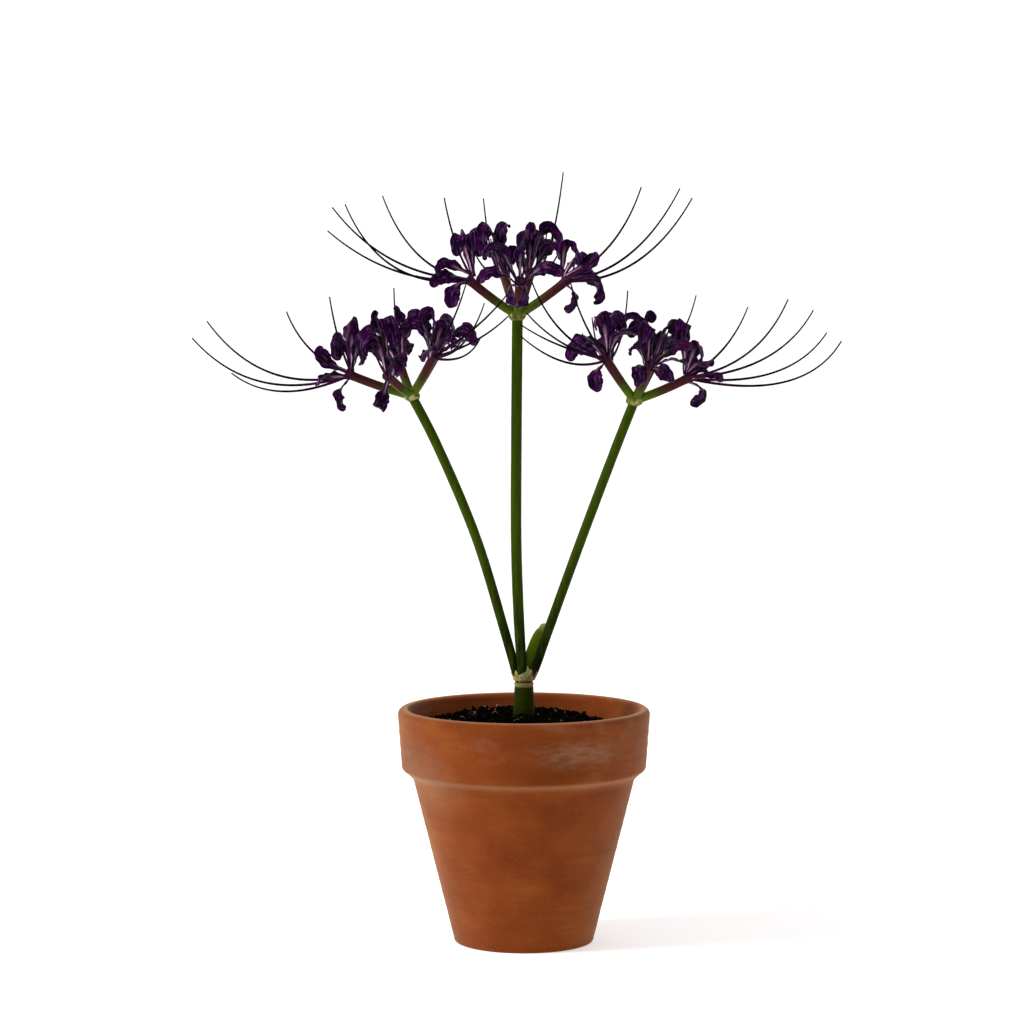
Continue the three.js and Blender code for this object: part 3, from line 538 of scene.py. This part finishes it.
# Damp peat compost, crumbled by hand: nearly black, with browner dry crumbs.
def compost():
    made, tree, shader, coords = begin("damp_peat_compost", Roughness=0.95, Specular_IOR_Level=0.01)
    clods = grain(tree, coords.outputs["Object"], 3.5, detail=6)
    tone = add(tree, "ShaderNodeValToRGB", {"Fac": clods},
               stops=[(0.38, "010100"), (0.6, "060402"), (0.8, "1b110a")])
    surface(tree, shader, tone.outputs["Color"], clods, 0.8, 1.2)
    return made


# Dry bark, root fibres and perlite on the compost: matt pale flecks that catch the light.
def dry_flecks():
    made, tree, shader, coords = begin("dry_bark_and_perlite", Roughness=0.9)
    spread = grain(tree, coords.outputs["Object"], 6, detail=1)
    tone = add(tree, "ShaderNodeValToRGB", {"Fac": spread},
               stops=[(0.35, "3a2a1a"), (0.55, "6b5236"), (0.7, "a89c84")])
    surface(tree, shader, tone.outputs["Color"])
    return made


# Living stalk skin: fleshy and waxy, finely ribbed along its length, with painted shade that
# darkens it near the pot.
def stalk_skin():
    made, tree, shader, coords = begin("waxy_green_stalk_skin", Roughness=0.42, Specular_IOR_Level=0.03)
    point = coords.outputs["Object"]
    height = add(tree, "ShaderNodeSeparateXYZ", {"Vector": point}).outputs["Z"]
    # Painted shade: the colour darkens down the stalk towards the pot.
    climb = add(tree, "ShaderNodeMapRange", {"Value": height, "From Min": 158 * MM,
                                             "From Max": 240 * MM}).outputs[0]
    base = add(tree, "ShaderNodeValToRGB", {"Fac": climb},
               stops=[(0.0, "050a00"), (0.25, "0e1800"), (0.55, "1d2a00"), (1.0, "293800")]).outputs["Color"]
    streaks = grain(tree, point, 2.2, (1, 1, 0.12), 4)
    streaked = stained(tree, base, streaks, 0.45, 0.7, 0.5, "394a02")
    surface(tree, shader, streaked, streaks, 0.25, 0.25)
    return made


# The neck's skin: the same waxy tissue, olive, with cross creases, a cream ring and a brown scar.
def neck_skin():
    made, tree, shader, coords = begin("creased_olive_neck_skin", Roughness=0.48, Specular_IOR_Level=0.03)
    point = coords.outputs["Object"]
    height = add(tree, "ShaderNodeSeparateXYZ", {"Vector": point}).outputs["Z"]
    ring = NECK["top"]
    low = (ring - 20) * MM
    high = (ring + NECK["ring_height"] + NECK["groove_height"]) * MM
    climb = add(tree, "ShaderNodeMapRange", {"Value": height, "From Min": low, "From Max": high}).outputs[0]

    def stop(height_mm, code):
        return (height_mm * MM - low) / (high - low), code

    # The skin is darker towards the soil.
    base = add(tree, "ShaderNodeValToRGB", {"Fac": climb}, stops=[
        (0.0, "0a0d00"), stop(ring - 13, "202900"), stop(ring - 1.2, "202900"),
        stop(ring - 0.2, "74733b"), stop(ring + 0.6, "978b59"), stop(ring + 1.5, "77653a"),
        stop(ring + 1.9, "3a1f0b"), stop(ring + 2.5, "4a2a12")]).outputs["Color"]
    # Painted shade darkens the skin along its creases.
    creases = grain(tree, point, 5, (1, 1, 5), 3)
    shaded = stained(tree, base, creases, 0.5, 0.7, 0.35, "131800")
    surface(tree, shader, shaded, creases, 0.4, 0.4)
    return made


# Dry papery bract: thin, fibrous and matt, paler along its raised fibres.
def papery_bract(name, pale, deep):
    made, tree, shader, coords = begin(name, Roughness=0.8)
    fibres = grain(tree, coords.outputs["Object"], 1.6, (1, 1, 0.25), 5)
    tone = add(tree, "ShaderNodeValToRGB", {"Fac": fibres}, stops=[(0.35, deep), (0.6, pale)])
    surface(tree, shader, tone.outputs["Color"], fibres, 0.4, 0.3)
    return made


# Young leaf: lighter and yellower than the stalks, with long veins and a pale rolled tip.
def leaf_skin():
    made, tree, shader, coords = begin("waxy_olive_leaf_skin", Roughness=0.45, Specular_IOR_Level=0.06)
    vein_count = 22
    across = add(tree, "ShaderNodeSeparateXYZ", {"Vector": coords.outputs["UV"]})
    veins = add(tree, "ShaderNodeMath", {0: across.outputs["X"], 1: vein_count * TURN},
                operation="MULTIPLY").outputs[0]
    veins = add(tree, "ShaderNodeMath", {0: veins}, operation="SINE").outputs[0]
    veined = stained(tree, linear("566c03"), veins, -1, 1, 0.3, "698006")
    tipped = stained(tree, veined, across.outputs["Y"], 0.8, 0.92, 0.8, "b3bb74")
    surface(tree, shader, tipped, veins, 0.15, 0.2)
    return made


# Receptacle: the swollen yellow-green joint, with cream scars where the bracts fell away.
def receptacle_skin():
    made, tree, shader, coords = begin("swollen_receptacle_skin", Roughness=0.5, Specular_IOR_Level=0.12)
    scars = grain(tree, coords.outputs["Object"], 4, detail=3)
    tone = add(tree, "ShaderNodeValToRGB", {"Fac": scars},
               stops=[(0.35, "3d490e"), (0.5, "5b6120"), (0.62, "9c965e")])
    surface(tree, shader, tone.outputs["Color"])
    return made


# Pedicel skin: green at its root and purple-brown towards the flower, mottled where they meet.
def pedicel_skin(name, stops):
    made, tree, shader, coords = begin(name, Roughness=0.45, Specular_IOR_Level=0.06)
    along = add(tree, "ShaderNodeSeparateXYZ", {"Vector": coords.outputs["UV"]}).outputs["Y"]
    mottle = grain(tree, coords.outputs["Object"], 3, (1, 1, 0.6), 4)
    uneven = add(tree, "ShaderNodeMapRange", {"Value": mottle, "To Min": -0.22, "To Max": 0.22}).outputs[0]
    along = add(tree, "ShaderNodeMath", {0: along, 1: uneven}, operation="ADD").outputs[0]
    tone = add(tree, "ShaderNodeValToRGB", {"Fac": along}, stops=stops)
    surface(tree, shader, tone.outputs["Color"], mottle, 0.2, 0.3)
    return made


# Petal tissue: soft and very dark violet with maroon mottling. Its satin sheen is painted as lilac highlight
# streaks, the light through its thin margins is painted lilac, and the pink-white streak up the claw is
# partly painted light.
def petal_tissue():
    made, tree, shader, coords = begin("satin_violet_petal_tissue", Roughness=0.36, Specular_IOR_Level=0.03)
    across = add(tree, "ShaderNodeSeparateXYZ", {"Vector": coords.outputs["UV"]})
    turn = add(tree, "ShaderNodeMath", {0: across.outputs["X"], 1: TURN}, operation="MULTIPLY").outputs[0]
    wide = add(tree, "ShaderNodeMath", {0: turn}, operation="COSINE").outputs[0]
    edge = add(tree, "ShaderNodeMath", {0: wide}, operation="ABSOLUTE").outputs[0]

    mottle = grain(tree, coords.outputs["Object"], 5, detail=5)
    base = add(tree, "ShaderNodeValToRGB", {"Fac": mottle}, stops=[
        (0.36, "0b000e"), (0.46, "1a0124"), (0.55, "2a0336"), (0.62, "33052f"),
        (0.7, "400728")]).outputs["Color"]
    # Painted light: the thin margins are lilac where light shines through them.
    painted_edge_light = stained(tree, base, edge, 0.955, 1.0, 0.36, "74508f")
    # The pink-white streak up the claw is partly its own colour and partly painted light shining through
    # between the claws.
    middle = add(tree, "ShaderNodeMapRange", {"Value": edge, "From Min": 0.42, "From Max": 0.0}).outputs[0]
    claw = add(tree, "ShaderNodeMapRange", {"Value": across.outputs["Y"], "From Min": 0.54, "From Max": 0.16,
                                            "To Max": 0.88}).outputs[0]
    claw_streak_and_painted_light = add(tree, "ShaderNodeMath", {0: middle, 1: claw}, operation="MULTIPLY").outputs[0]
    streaked = add(tree, "ShaderNodeMix", {0: claw_streak_and_painted_light, 6: painted_edge_light, 7: linear("dcb0c6")},
                   data_type="RGBA").outputs[2]

    # Painted highlights: uneven lilac streaks run up the blade where its satin catches the light. They are
    # really finer, and drawn as coarse as they show.
    around = add(tree, "ShaderNodeCombineXYZ", {"X": wide, "Y": across.outputs["Y"], "Z": mottle}).outputs[0]
    streaks = add(tree, "ShaderNodeTexNoise", {"Vector": around, "Scale": 3.4, "Detail": 4}).outputs["Fac"]
    veined = stained(tree, streaked, streaks, 0.55, 0.74, 0.42, "8a6694")
    # Even, raised veins, which only the bump shows.
    vein_spread = 11
    veins = add(tree, "ShaderNodeMath", {0: wide, 1: vein_spread}, operation="MULTIPLY").outputs[0]
    veins = add(tree, "ShaderNodeMath", {0: veins}, operation="SINE").outputs[0]
    relief = add(tree, "ShaderNodeMath", {0: veins, 1: mottle}, operation="ADD").outputs[0]
    surface(tree, shader, veined, relief, 0.3, 0.2)
    return made


# Stamen filament: smooth and thin, wine-purple at its root and almost black at its tip.
def filament():
    made, tree, shader, coords = begin("smooth_aubergine_filament", Roughness=0.6, Specular_IOR_Level=0.01)
    along = add(tree, "ShaderNodeSeparateXYZ", {"Vector": coords.outputs["UV"]}).outputs["Y"]
    tone = add(tree, "ShaderNodeValToRGB", {"Fac": along},
               stops=[(0.0, "5a2a48"), (0.1, "3c1434"), (0.3, "220628"), (0.42, "0d030d"), (1.0, "070406")])
    surface(tree, shader, tone.outputs["Color"])
    return made


# Floor paper: plain, matt and white, with the glow of the lit studio in it.
def studio_paper():
    made, tree, shader, coords = begin(
        "matt_white_studio_paper", Roughness=0.95, Specular_IOR_Level=0.1,
        Emission_Color=(1, 1, 1, 1), Emission_Strength=0.41)
    fibre = grain(tree, coords.outputs["Object"], 60, detail=2)
    tone = add(tree, "ShaderNodeValToRGB", {"Fac": fibre}, stops=[(0.3, "f4f3f2"), (0.7, "f7f6f5")])
    surface(tree, shader, tone.outputs["Color"])
    return made


# Pot


def pot(material):
    band_foot = POT["height"] - POT["band_height"]
    lip = POT["wall"] / 2
    inner_foot = POT["foot_radius"] - POT["wall"] + POT["inner_flare"]
    foot_edge = arc(POT["foot_radius"] - POT["foot_round"], POT["foot_round"], POT["foot_round"], -90, 0, 6)
    tuck = arc(POT["band_foot_radius"] - POT["band_round"], band_foot + POT["band_round"],
               POT["band_round"], POT["band_tuck"], 0, 8)
    over = arc(POT["rim_radius"] - lip, POT["height"] - lip, lip, 0, 180, 16)

    def wall(start, end, rows):
        """A straight wall with shallow throwing rings, which fade out at its two ends."""
        made = []
        for i in range(1, rows):
            share = i / rows
            radius = mix(start[0], end[0], share)
            height = mix(start[1], end[1], share)
            ripple = noise.noise(Vector((*POT["ring_seed"], height * POT["ring_drift"])))
            ripple += POT["ring_wave"] * math.sin(height * POT["ring_pitch"])
            made.append((radius + POT["ring_depth"] * ripple * math.sin(math.pi * share) ** 0.5, height))
        return made

    shoulder = (POT["shoulder_radius"], POT["shoulder_height"])
    inner_base = (inner_foot, POT["floor"] + POT["inner_corner"])
    profile = [
        (POT["drain_radius"], 0), *foot_edge, *wall(foot_edge[-1], shoulder, POT["body_rows"]), shoulder,
        *tuck, *wall(tuck[-1], over[0], POT["band_rows"]), *over,
        *wall(over[-1], inner_base, POT["body_rows"]), inner_base,
        (inner_foot - POT["inner_corner"], POT["floor"]), (POT["drain_radius"], POT["floor"]),
        (POT["drain_radius"], 0),
    ]
    work = bmesh.new()
    spun(work, profile, POT["segments"])
    finished("thrown_pot", work, [material], ["pot"])


# Soil


def inner_radius(height):
    low = POT["floor"] + POT["inner_corner"]
    high = POT["height"] - POT["wall"] / 2
    inner_foot = POT["foot_radius"] - POT["wall"] + POT["inner_flare"]
    return mix(inner_foot, POT["rim_radius"] - POT["wall"], (height - low) / (high - low))


def soil_height(x, y):
    fall = smooth(SOIL["plateau"], inner_radius(SOIL["edge_height"]), math.hypot(x, y))
    base = mix(SOIL["mound_height"], SOIL["edge_height"], fall)
    coarse = math.sin(x * SOIL["swell_x"] + SOIL["swell_x_phase"])
    coarse *= math.sin(y * SOIL["swell_y"] + SOIL["swell_y_phase"])
    fine = SOIL["slant_share"] * math.sin(x * SOIL["slant_x"] - y * SOIL["slant_y"])
    fine += SOIL["cross_share"] * math.cos(y * SOIL["cross_y"] + x * SOIL["cross_x"])
    return base - SOIL["lean"] * x + SOIL["lump"] * (coarse + fine)


def soil_bed(material):
    edge = inner_radius(SOIL["edge_height"]) - SOIL["clearance"]
    hole = NECK["soil_radius"] + SOIL["neck_clearance"]
    socket = NECK["buried"] - SOIL["socket_drop"]
    floor = POT["floor"] + SOIL["clearance"]
    knee = inner_radius(POT["floor"] + POT["inner_corner"]) - SOIL["clearance"]
    radii = [mix(edge, hole, i / SOIL["rings"]) for i in range(SOIL["rings"] + 1)]
    profile = [
        (0, floor), (knee - SOIL["foot_corner"], floor), (knee, floor + SOIL["foot_corner"]),
        *[(radius, SOIL["edge_height"]) for radius in radii], (hole, socket), (0, socket),
    ]
    work = bmesh.new()
    spun(work, profile, SOIL["segments"])
    for vert in work.verts:
        if vert.co.z > (SOIL["edge_height"] - SOIL["top_skin"]) * MM:
            x, y = [(vert.co[i] - POT_AXIS[i]) / MM for i in (0, 1)]
            spot = Vector((x, y, 0))
            rough = noise.fractal(spot * SOIL["clod"], 1.0, 2.0, 4)
            rough += SOIL["fine_share"] * noise.noise(spot * SOIL["fine_clod"])
            vert.co.z = (soil_height(x, y) + SOIL["grain"] * rough) * MM
    finished("soil_bed", work, [material], ["soil"])


def on_soil(dice, inset=2.0):
    """A seeded spot on the soil, in millimetres, clear of the neck and the pot's wall."""
    reach = inner_radius(SOIL["edge_height"]) - inset
    start = NECK["soil_radius"] + inset
    radius = math.sqrt(mix(start * start, reach * reach, dice.random()))
    angle = dice.uniform(0, TURN)
    x, y = radius * math.cos(angle), radius * math.sin(angle)
    return Vector((x, y, soil_height(x, y)))


def lump(work, spot, size, dice, finish=0):
    """One crumb: a coarse ball, squashed and turned at random."""
    shape = Matrix.Diagonal((size * dice.uniform(*SOIL["crumb_width"]),
                             size * dice.uniform(*SOIL["crumb_width"]),
                             size * dice.uniform(*SOIL["crumb_height"]), 1))
    turned = Euler([dice.uniform(0, TURN) for _ in range(3)]).to_matrix().to_4x4()
    matrix = Matrix.Translation(place(spot)) @ turned @ shape
    made = bmesh.ops.create_icosphere(work, subdivisions=1, radius=MM, matrix=matrix)["verts"]
    for face in {face for vert in made for face in vert.link_faces}:
        face.material_index = finish


def soil_crumbs(dark, pale):
    dice = random.Random(11)
    work = bmesh.new()
    for _ in range(SOIL["crumbs"]):
        size = SOIL["crumb_least"] + SOIL["crumb_spread"] * dice.random() ** SOIL["crumb_bias"]
        lump(work, on_soil(dice, size + 1), size, dice)
    for _ in range(SOIL["grit"]):
        size = dice.uniform(*SOIL["grit_size"])
        lump(work, on_soil(dice) + Vector((0, 0, SOIL["grit_lift"])), size, dice, 1)
    for _ in range(SOIL["fibres"]):
        start = on_soil(dice, SOIL["fibre_inset"])
        way = Vector((dice.uniform(-1, 1), dice.uniform(-1, 1), 0)).normalized()
        way *= dice.uniform(*SOIL["fibre_length"])
        bend = start + way * 0.5 + Vector((0, 0, dice.uniform(*SOIL["fibre_arch"])))
        end = start + way + Vector((0, 0, dice.uniform(*SOIL["fibre_end"])))
        tube(work, even(bezier(start, bend, end, 12), 6), lambda share: SOIL["fibre_radius"],
             sides=4, finish=1)
    finished("soil_crumbs", work, [dark, pale])


# Neck, collar and leaf


def neck(material):
    ring = NECK["top"]
    groove_top = ring + NECK["ring_height"] + NECK["groove_height"]
    shaft = []
    for i in range(NECK["rows"] + 1):
        share = i / NECK["rows"]
        crease = NECK["crease"] * noise.noise(Vector((0, 0, share * NECK["creases"])))
        shaft.append((mix(NECK["soil_radius"], NECK["top_radius"], share) + crease,
                      mix(SOIL["mound_height"], ring, share)))
    profile = [
        (0, NECK["buried"]), (NECK["soil_radius"] - NECK["buried_inset"], NECK["buried"]),
        (NECK["soil_radius"], NECK["buried"] + NECK["buried_rise"]), *shaft,
        *arc(NECK["ring_radius"] - NECK["ring_round"], ring + NECK["ring_middle"],
             NECK["ring_round"], -NECK["ring_arc"], NECK["ring_arc"], 8),
        (NECK["groove_radius"], ring + NECK["ring_height"]), (NECK["groove_radius"], groove_top),
        (0, groove_top),
    ]
    work = bmesh.new()
    spun(work, profile, NECK["segments"])
    finished("green_neck", work, [material], ["neck"])


def bract(name, material, start, end, seed):
    """A torn papery half collar: a thin closed shell round the neck, which stands up in ragged
    tongues between the stalks and dips in front of each."""
    def at(turn, share):
        around = math.cos(TURN * turn) * 0.5 + 0.5
        outer = math.sin(TURN * turn)
        bearing = mix(start, end, around)
        angle = math.radians(bearing)
        tall = COLLAR["low"] + COLLAR["torn"] * noise.noise(Vector((around * COLLAR["tears"], seed, 0)))
        for middle, spread, height in COLLAR["tongues"]:
            tall += height * smooth(spread, 0, abs(bearing - middle))
        rise = share * tall
        radius = min(COLLAR["foot_radius"] + COLLAR["flare"] * rise, COLLAR["top_radius"])
        warp = Vector((around * COLLAR["buckles_round"], share * COLLAR["buckles_up"], seed))
        radius += COLLAR["buckle"] * noise.noise(warp)
        if share not in (0, 1):
            radius += outer * COLLAR["thickness"] / 2
        return Vector((radius * math.cos(angle), radius * math.sin(angle), COLLAR["foot"] + rise))

    work = bmesh.new()
    skin(work, sides=84, steps=14, at=at)
    finished(name, work, [material])


def fork_tissue(material):
    """The pale tissue that fills the fork where the three stalks spring from the neck."""

    def radius_at(share):
        return COLLAR["heart_radius"] * (1 - share ** COLLAR["heart_round"]) + COLLAR["heart_least"]

    line = even([Vector(COLLAR["heart_foot"]), Vector(COLLAR["heart_top"])], 14)
    work = bmesh.new()
    tube(work, line, radius_at, sides=32, ridges=COLLAR["heart_lobes"],
         ridge_depth=COLLAR["heart_lobe_depth"])
    finished("fork_tissue", work, [material], ["collar"])


def leaf(material):
    line = curled(through(LEAF["path"]), LEAF["hook_radius"], LEAF["hook_degrees"], steps=14)
    line = even(line, 40)
    ways = directions(line)

    def at(turn, step):
        along = min(step / (len(line) - 1) / LEAF["hook_from"], 1)
        half = mix(LEAF["root_half"], LEAF["half_width"], smooth(0, LEAF["full_by"], along))
        half *= math.sqrt(1 - LEAF["tip_taper"] * along ** LEAF["tip_power"])
        normal = Vector((0, 1, 0))
        normal = (normal - ways[step] * normal.dot(ways[step])).normalized()
        across = ways[step].cross(normal)
        wide, high = math.cos(TURN * turn), math.sin(TURN * turn)
        keel = LEAF["keel"] * wide * wide
        return line[step] + across * half * wide + normal * (keel + high * LEAF["thickness"] / 2)

    work = bmesh.new()
    sleeve(work, line, sides=28, at=at)
    finished("blunt_leaf", work, [material], ["leaf"])


# Stalks and blooms


def receptacle_of(side):
    return Vector(STALKS[side]["path"][-1])


def pedicel_line(side, bloom):
    root = receptacle_of(side)
    throat = root + Vector(bloom["throat"])
    bend = root.lerp(throat, 0.5) + Vector(bloom["axis"]).normalized() * PEDICEL["bow"]
    bend.z -= PEDICEL["sag"]
    return bezier(root, bend, throat)


def pedicel_radius(share):
    return mix(PEDICEL["root_radius"], PEDICEL["throat_radius"], share)


def stalk(side, skins):
    """One stalk with its swollen receptacle, bract scars and the green roots of its pedicels."""
    size = STALKS[side]
    work = bmesh.new()

    def radius_at(share):
        seed = len(side)
        waver = STALK_SHAPE["waver"] * noise.noise(Vector((share * STALK_SHAPE["wavers"], seed, 0)))
        return mix(size["root_radius"], size["radius"], smooth(0, STALK_SHAPE["root_share"], share)) + waver

    def root_radius_at(share):
        return pedicel_radius(share * PEDICEL["green_share"])

    tube(work, even(through(size["path"]), 90), radius_at, sides=24, ridges=STALK_SHAPE["ribs"],
         ridge_depth=STALK_SHAPE["rib_depth"])
    top = receptacle_of(side)
    swell = Matrix.Translation(place(top)) @ Matrix.Diagonal(
        (RECEPTACLE["half_width"], RECEPTACLE["half_width"], RECEPTACLE["half_height"], 1))
    made = bmesh.ops.create_icosphere(work, subdivisions=4, radius=MM, matrix=swell)["verts"]
    for vert in made:
        way = vert.co - place(top)
        vert.co += way * RECEPTACLE["knobs"] * noise.noise(vert.co * RECEPTACLE["knobs_per_metre"])
    for face in {face for vert in made for face in vert.link_faces}:
        face.material_index = 1
    dice = random.Random(len(side))
    for bloom in BLOOMS[side]:
        line = pedicel_line(side, bloom)
        tube(work, even(line, 16, 0.0, PEDICEL["green_share"]), root_radius_at, sides=20, finish=2,
             ridges=PEDICEL["ribs"], ridge_depth=PEDICEL["root_rib_depth"])
        scar = line[RECEPTACLE["scar_point"]] + Vector((0, 0, -RECEPTACLE["scar_drop"]))
        lump(work, scar, dice.uniform(*RECEPTACLE["scar_size"]), dice, 1)
    finished(f"stalk_and_roots_{side}", work, skins, [f"stalk_{side}"])


def tepal_half_width(share, claw_share):
    if share < TEPAL["widest_at"]:
        swell = smooth(claw_share, TEPAL["widest_at"], share)
        return mix(TEPAL["claw_half"], TEPAL["blade_half"], swell)
    beyond = (share - TEPAL["widest_at"]) / (TEPAL["rounded_to"] - TEPAL["widest_at"])
    return TEPAL["blade_half"] * math.sqrt(max(1 - beyond ** TEPAL["blunt"], TEPAL["tip_least"]))


def tepal(work, throat, axis, row, handed, phase):
    """One tepal: a narrow claw that rises to a crest, a twisted crinkled blade, and a rolled tip."""
    crest, tip = Vector(row[:3]), Vector(row[3:6])
    own_twist = row[6] if len(row) > 6 else TEPAL["twist"]
    hanging = smooth(TEPAL["hang_from"], TEPAL["hang_to"], -tip.z)
    claw_share = mix(TEPAL["claw_share"], TEPAL["hanging_claw"], hanging)
    plane = crest.cross(tip)
    across = (plane if plane.length > TEPAL["flat_plane"] else axis.cross(tip)).normalized()
    outward = (crest - axis * crest.dot(axis)).normalized()
    root = axis * -TEPAL["root_depth"] + outward * TEPAL["root_radius"]
    bend = crest * 2 - root / 2 - tip / 2
    line = curled(bezier(root, bend, tip), TEPAL["curl_radius"], TEPAL["curl_degrees"], steps=14)
    line = even(line, 46)
    ways = directions(line)
    shape_phase = crest.x + tip.z

    def at(turn, step):
        along = step / (len(line) - 1)
        way = ways[step]
        twist = math.radians(own_twist) * handed * smooth(TEPAL["twist_from"], TEPAL["twist_to"], along)
        side = Quaternion(way, twist) @ (across - way * across.dot(way)).normalized()
        normal = side.cross(way)
        wide, high = math.cos(TURN * turn), math.sin(TURN * turn)
        half = tepal_half_width(along, claw_share)
        edge_share = half / TEPAL["blade_half"]
        wave = TEPAL["crinkle"] * edge_share * math.sin(along * TEPAL["waves"] * TURN + shape_phase)
        ruffle = TEPAL["ruffle"] * edge_share * abs(wide) ** 3
        offset = TEPAL["ruffle_offset"] if wide > 0 else 0
        ruffle *= math.sin(along * TEPAL["ruffles"] * TURN + phase + offset)
        droop = half * TEPAL["channel"] * (2 * along - 1) * wide * wide
        notch = 1 + TEPAL["notch"] * math.sin(along * TEPAL["notches"] * TURN + phase * 2)
        scale = TEPAL["pucker_scale"]
        pucker = TEPAL["pucker"] * edge_share * noise.noise(line[step] * scale + side * wide * half * scale)
        lift = wave * wide + ruffle - droop + pucker
        point = line[step] + side * half * wide * notch
        return throat + point + normal * (lift + high * TEPAL["thickness"] / 2)

    sleeve(work, [throat + spot for spot in line], sides=20, at=at)


def stamen(work, throat, axis, row):
    """One stamen: it runs out from the throat, then turns up to its tip."""
    x, z, side = row[:3]
    bend_height = row[3] if len(row) > 3 else STAMEN["bend_height"]
    bend_share = row[4] if len(row) > 4 else STAMEN["bend_share"]
    depth = side * math.sqrt(max(STAMEN["chord"] ** 2 - x * x - z * z, 0))
    root = throat - axis * STAMEN["root_depth"]
    bend = throat + Vector((x * bend_share, depth * bend_share, bend_height))
    line = even(bezier(root, bend, throat + Vector((x, depth, z))), 40)
    tube(work, line, lambda share: mix(STAMEN["root_radius"], STAMEN["tip_radius"], share),
         sides=8, finish=1)


def bloom_piece(side, number, bloom, finishes):
    """One bloom: the purple-brown tube, its tepals and its stamens, grown as one."""
    throat = receptacle_of(side) + Vector(bloom["throat"])
    axis = Vector(bloom["axis"]).normalized()
    work = bmesh.new()

    def tube_radius(share):
        flare = PEDICEL["flare"] * smooth(PEDICEL["flare_from"], 1, share)
        return pedicel_radius(mix(PEDICEL["green_share"], 1, share)) + flare

    line = even(pedicel_line(side, bloom), 24, PEDICEL["green_share"], 1.0)
    tube(work, line, tube_radius, sides=24, finish=2, ridges=PEDICEL["ribs"],
         ridge_depth=PEDICEL["tube_rib_depth"])
    for i, row in enumerate(bloom["tepals"]):
        phase = number * TEPAL["bloom_phase"] + i * TEPAL["tepal_phase"]
        tepal(work, throat, axis, row, 1 if i % 2 else -1, phase)
    for row in bloom["stamens"]:
        stamen(work, throat, axis, row)
    node = f"bloom_{side}_{number}"
    finished(f"spider_{node}", work, finishes, [node])


# Studio: pale floor that sweeps up behind, soft light and the camera


def studio(paper):
    """A floor that sweeps up into a wall, in metres: rise is the radius of the sweep."""
    half_width, front, back, rise, wall = 30.0, -30.0, 3.2, 2.4, 3
    sweep = rise * math.pi / 2
    work = bmesh.new()
    made = bmesh.ops.create_grid(work, x_segments=1, y_segments=240, size=1)["verts"]
    for vert in made:
        share = (vert.co.y + 1) / 2
        run = mix(front, back + sweep + wall, share)
        beyond = max(run - back, 0)
        angle = min(beyond / rise, math.pi / 2)
        climb = max(beyond - sweep, 0)
        vert.co = Vector((vert.co.x * half_width, min(run, back) + rise * math.sin(angle),
                          rise * (1 - math.cos(angle)) + climb))
    for face in work.faces:
        face.smooth = True
    mesh = bpy.data.meshes.new("studio_floor")
    work.to_mesh(mesh)
    work.free()
    mesh.materials.append(paper)
    floor = bpy.data.objects.new("studio_floor", mesh)
    bpy.context.scene.collection.objects.link(floor)


def soft_light(name, spot, aim, size, power, colour):
    lamp = bpy.data.lights.new(name, "AREA")
    lamp.shape = "DISK"
    lamp.size = size
    lamp.energy = power
    lamp.color = linear(colour)[:3]
    holder = bpy.data.objects.new(name, lamp)
    holder.location = spot
    holder.rotation_euler = (Vector(aim) - Vector(spot)).to_track_quat("-Z", "Y").to_euler()
    bpy.context.scene.collection.objects.link(holder)


def light_studio():
    world = bpy.data.worlds.new("white_studio")
    world.use_nodes = True
    glow = world.node_tree.nodes["Background"]
    glow.inputs["Color"].default_value = (1, 1, 1, 1)
    glow.inputs["Strength"].default_value = 0.55
    bpy.context.scene.world = world
    middle = (0, 0, 0.2)
    soft_light("key", (-1.9, -0.6, 1.35), middle, 0.9, 58, "fff6ee")
    soft_light("fill", (2.0, -0.7, 0.9), middle, 1.4, 6, "f4f6ff")


def photo_camera():
    """The photograph's view: its focal length in pixels, height, distance and downward pitch."""
    image_width, focal_pixels, sensor = 1024, 3500, 36
    stand, pitch = (-7.2, -2096, 419), 4.333
    lens = bpy.data.cameras.new("photo_camera")
    lens.sensor_width = sensor
    lens.lens = focal_pixels / image_width * sensor
    lens.clip_start = 0.05
    holder = bpy.data.objects.new("photo_camera", lens)
    holder.location = place(stand)
    holder.rotation_euler = (math.radians(90 - pitch), 0, 0)
    bpy.context.scene.collection.objects.link(holder)
    bpy.context.scene.camera = holder


# Assembly

photo_camera()
bpy.context.scene.view_settings.view_transform = "Standard"
studio(studio_paper())
light_studio()

peat = compost()
pot(terracotta())
soil_bed(peat)
soil_crumbs(peat, dry_flecks())
neck(neck_skin())

cream_bract = papery_bract("cream_papery_bract", "b0a867", "7a7040")
tan_bract = papery_bract("tan_papery_bract", "937a52", "58402a")
bract("bract_left", cream_bract, 90, 264, 1.7)
bract("bract_right", tan_bract, 262, 452, 6.3)
# The fork tissue is a darker copy of the cream bract: painted shade between the stalks.
fork_tissue(papery_bract("pale_fork_tissue_painted_shade", "97955a", "5b6232"))
leaf(leaf_skin())

green_root = [(0.0, "52660a"), (0.55, "3e5006"), (0.85, "37400a"), (1.0, "38300f")]
purple_tube = [(0.0, "38300f"), (0.18, "3b2212"), (0.42, "401818"), (1.0, "330b1e")]
stalk_finishes = [stalk_skin(), receptacle_skin(), pedicel_skin("green_pedicel_skin", green_root)]
bloom_finishes = [petal_tissue(), filament(), pedicel_skin("purple_brown_pedicel_skin", purple_tube)]
for side in STALKS:
    stalk(side, stalk_finishes)
    for number, bloom in enumerate(BLOOMS[side], 1):
        bloom_piece(side, number, bloom, bloom_finishes)
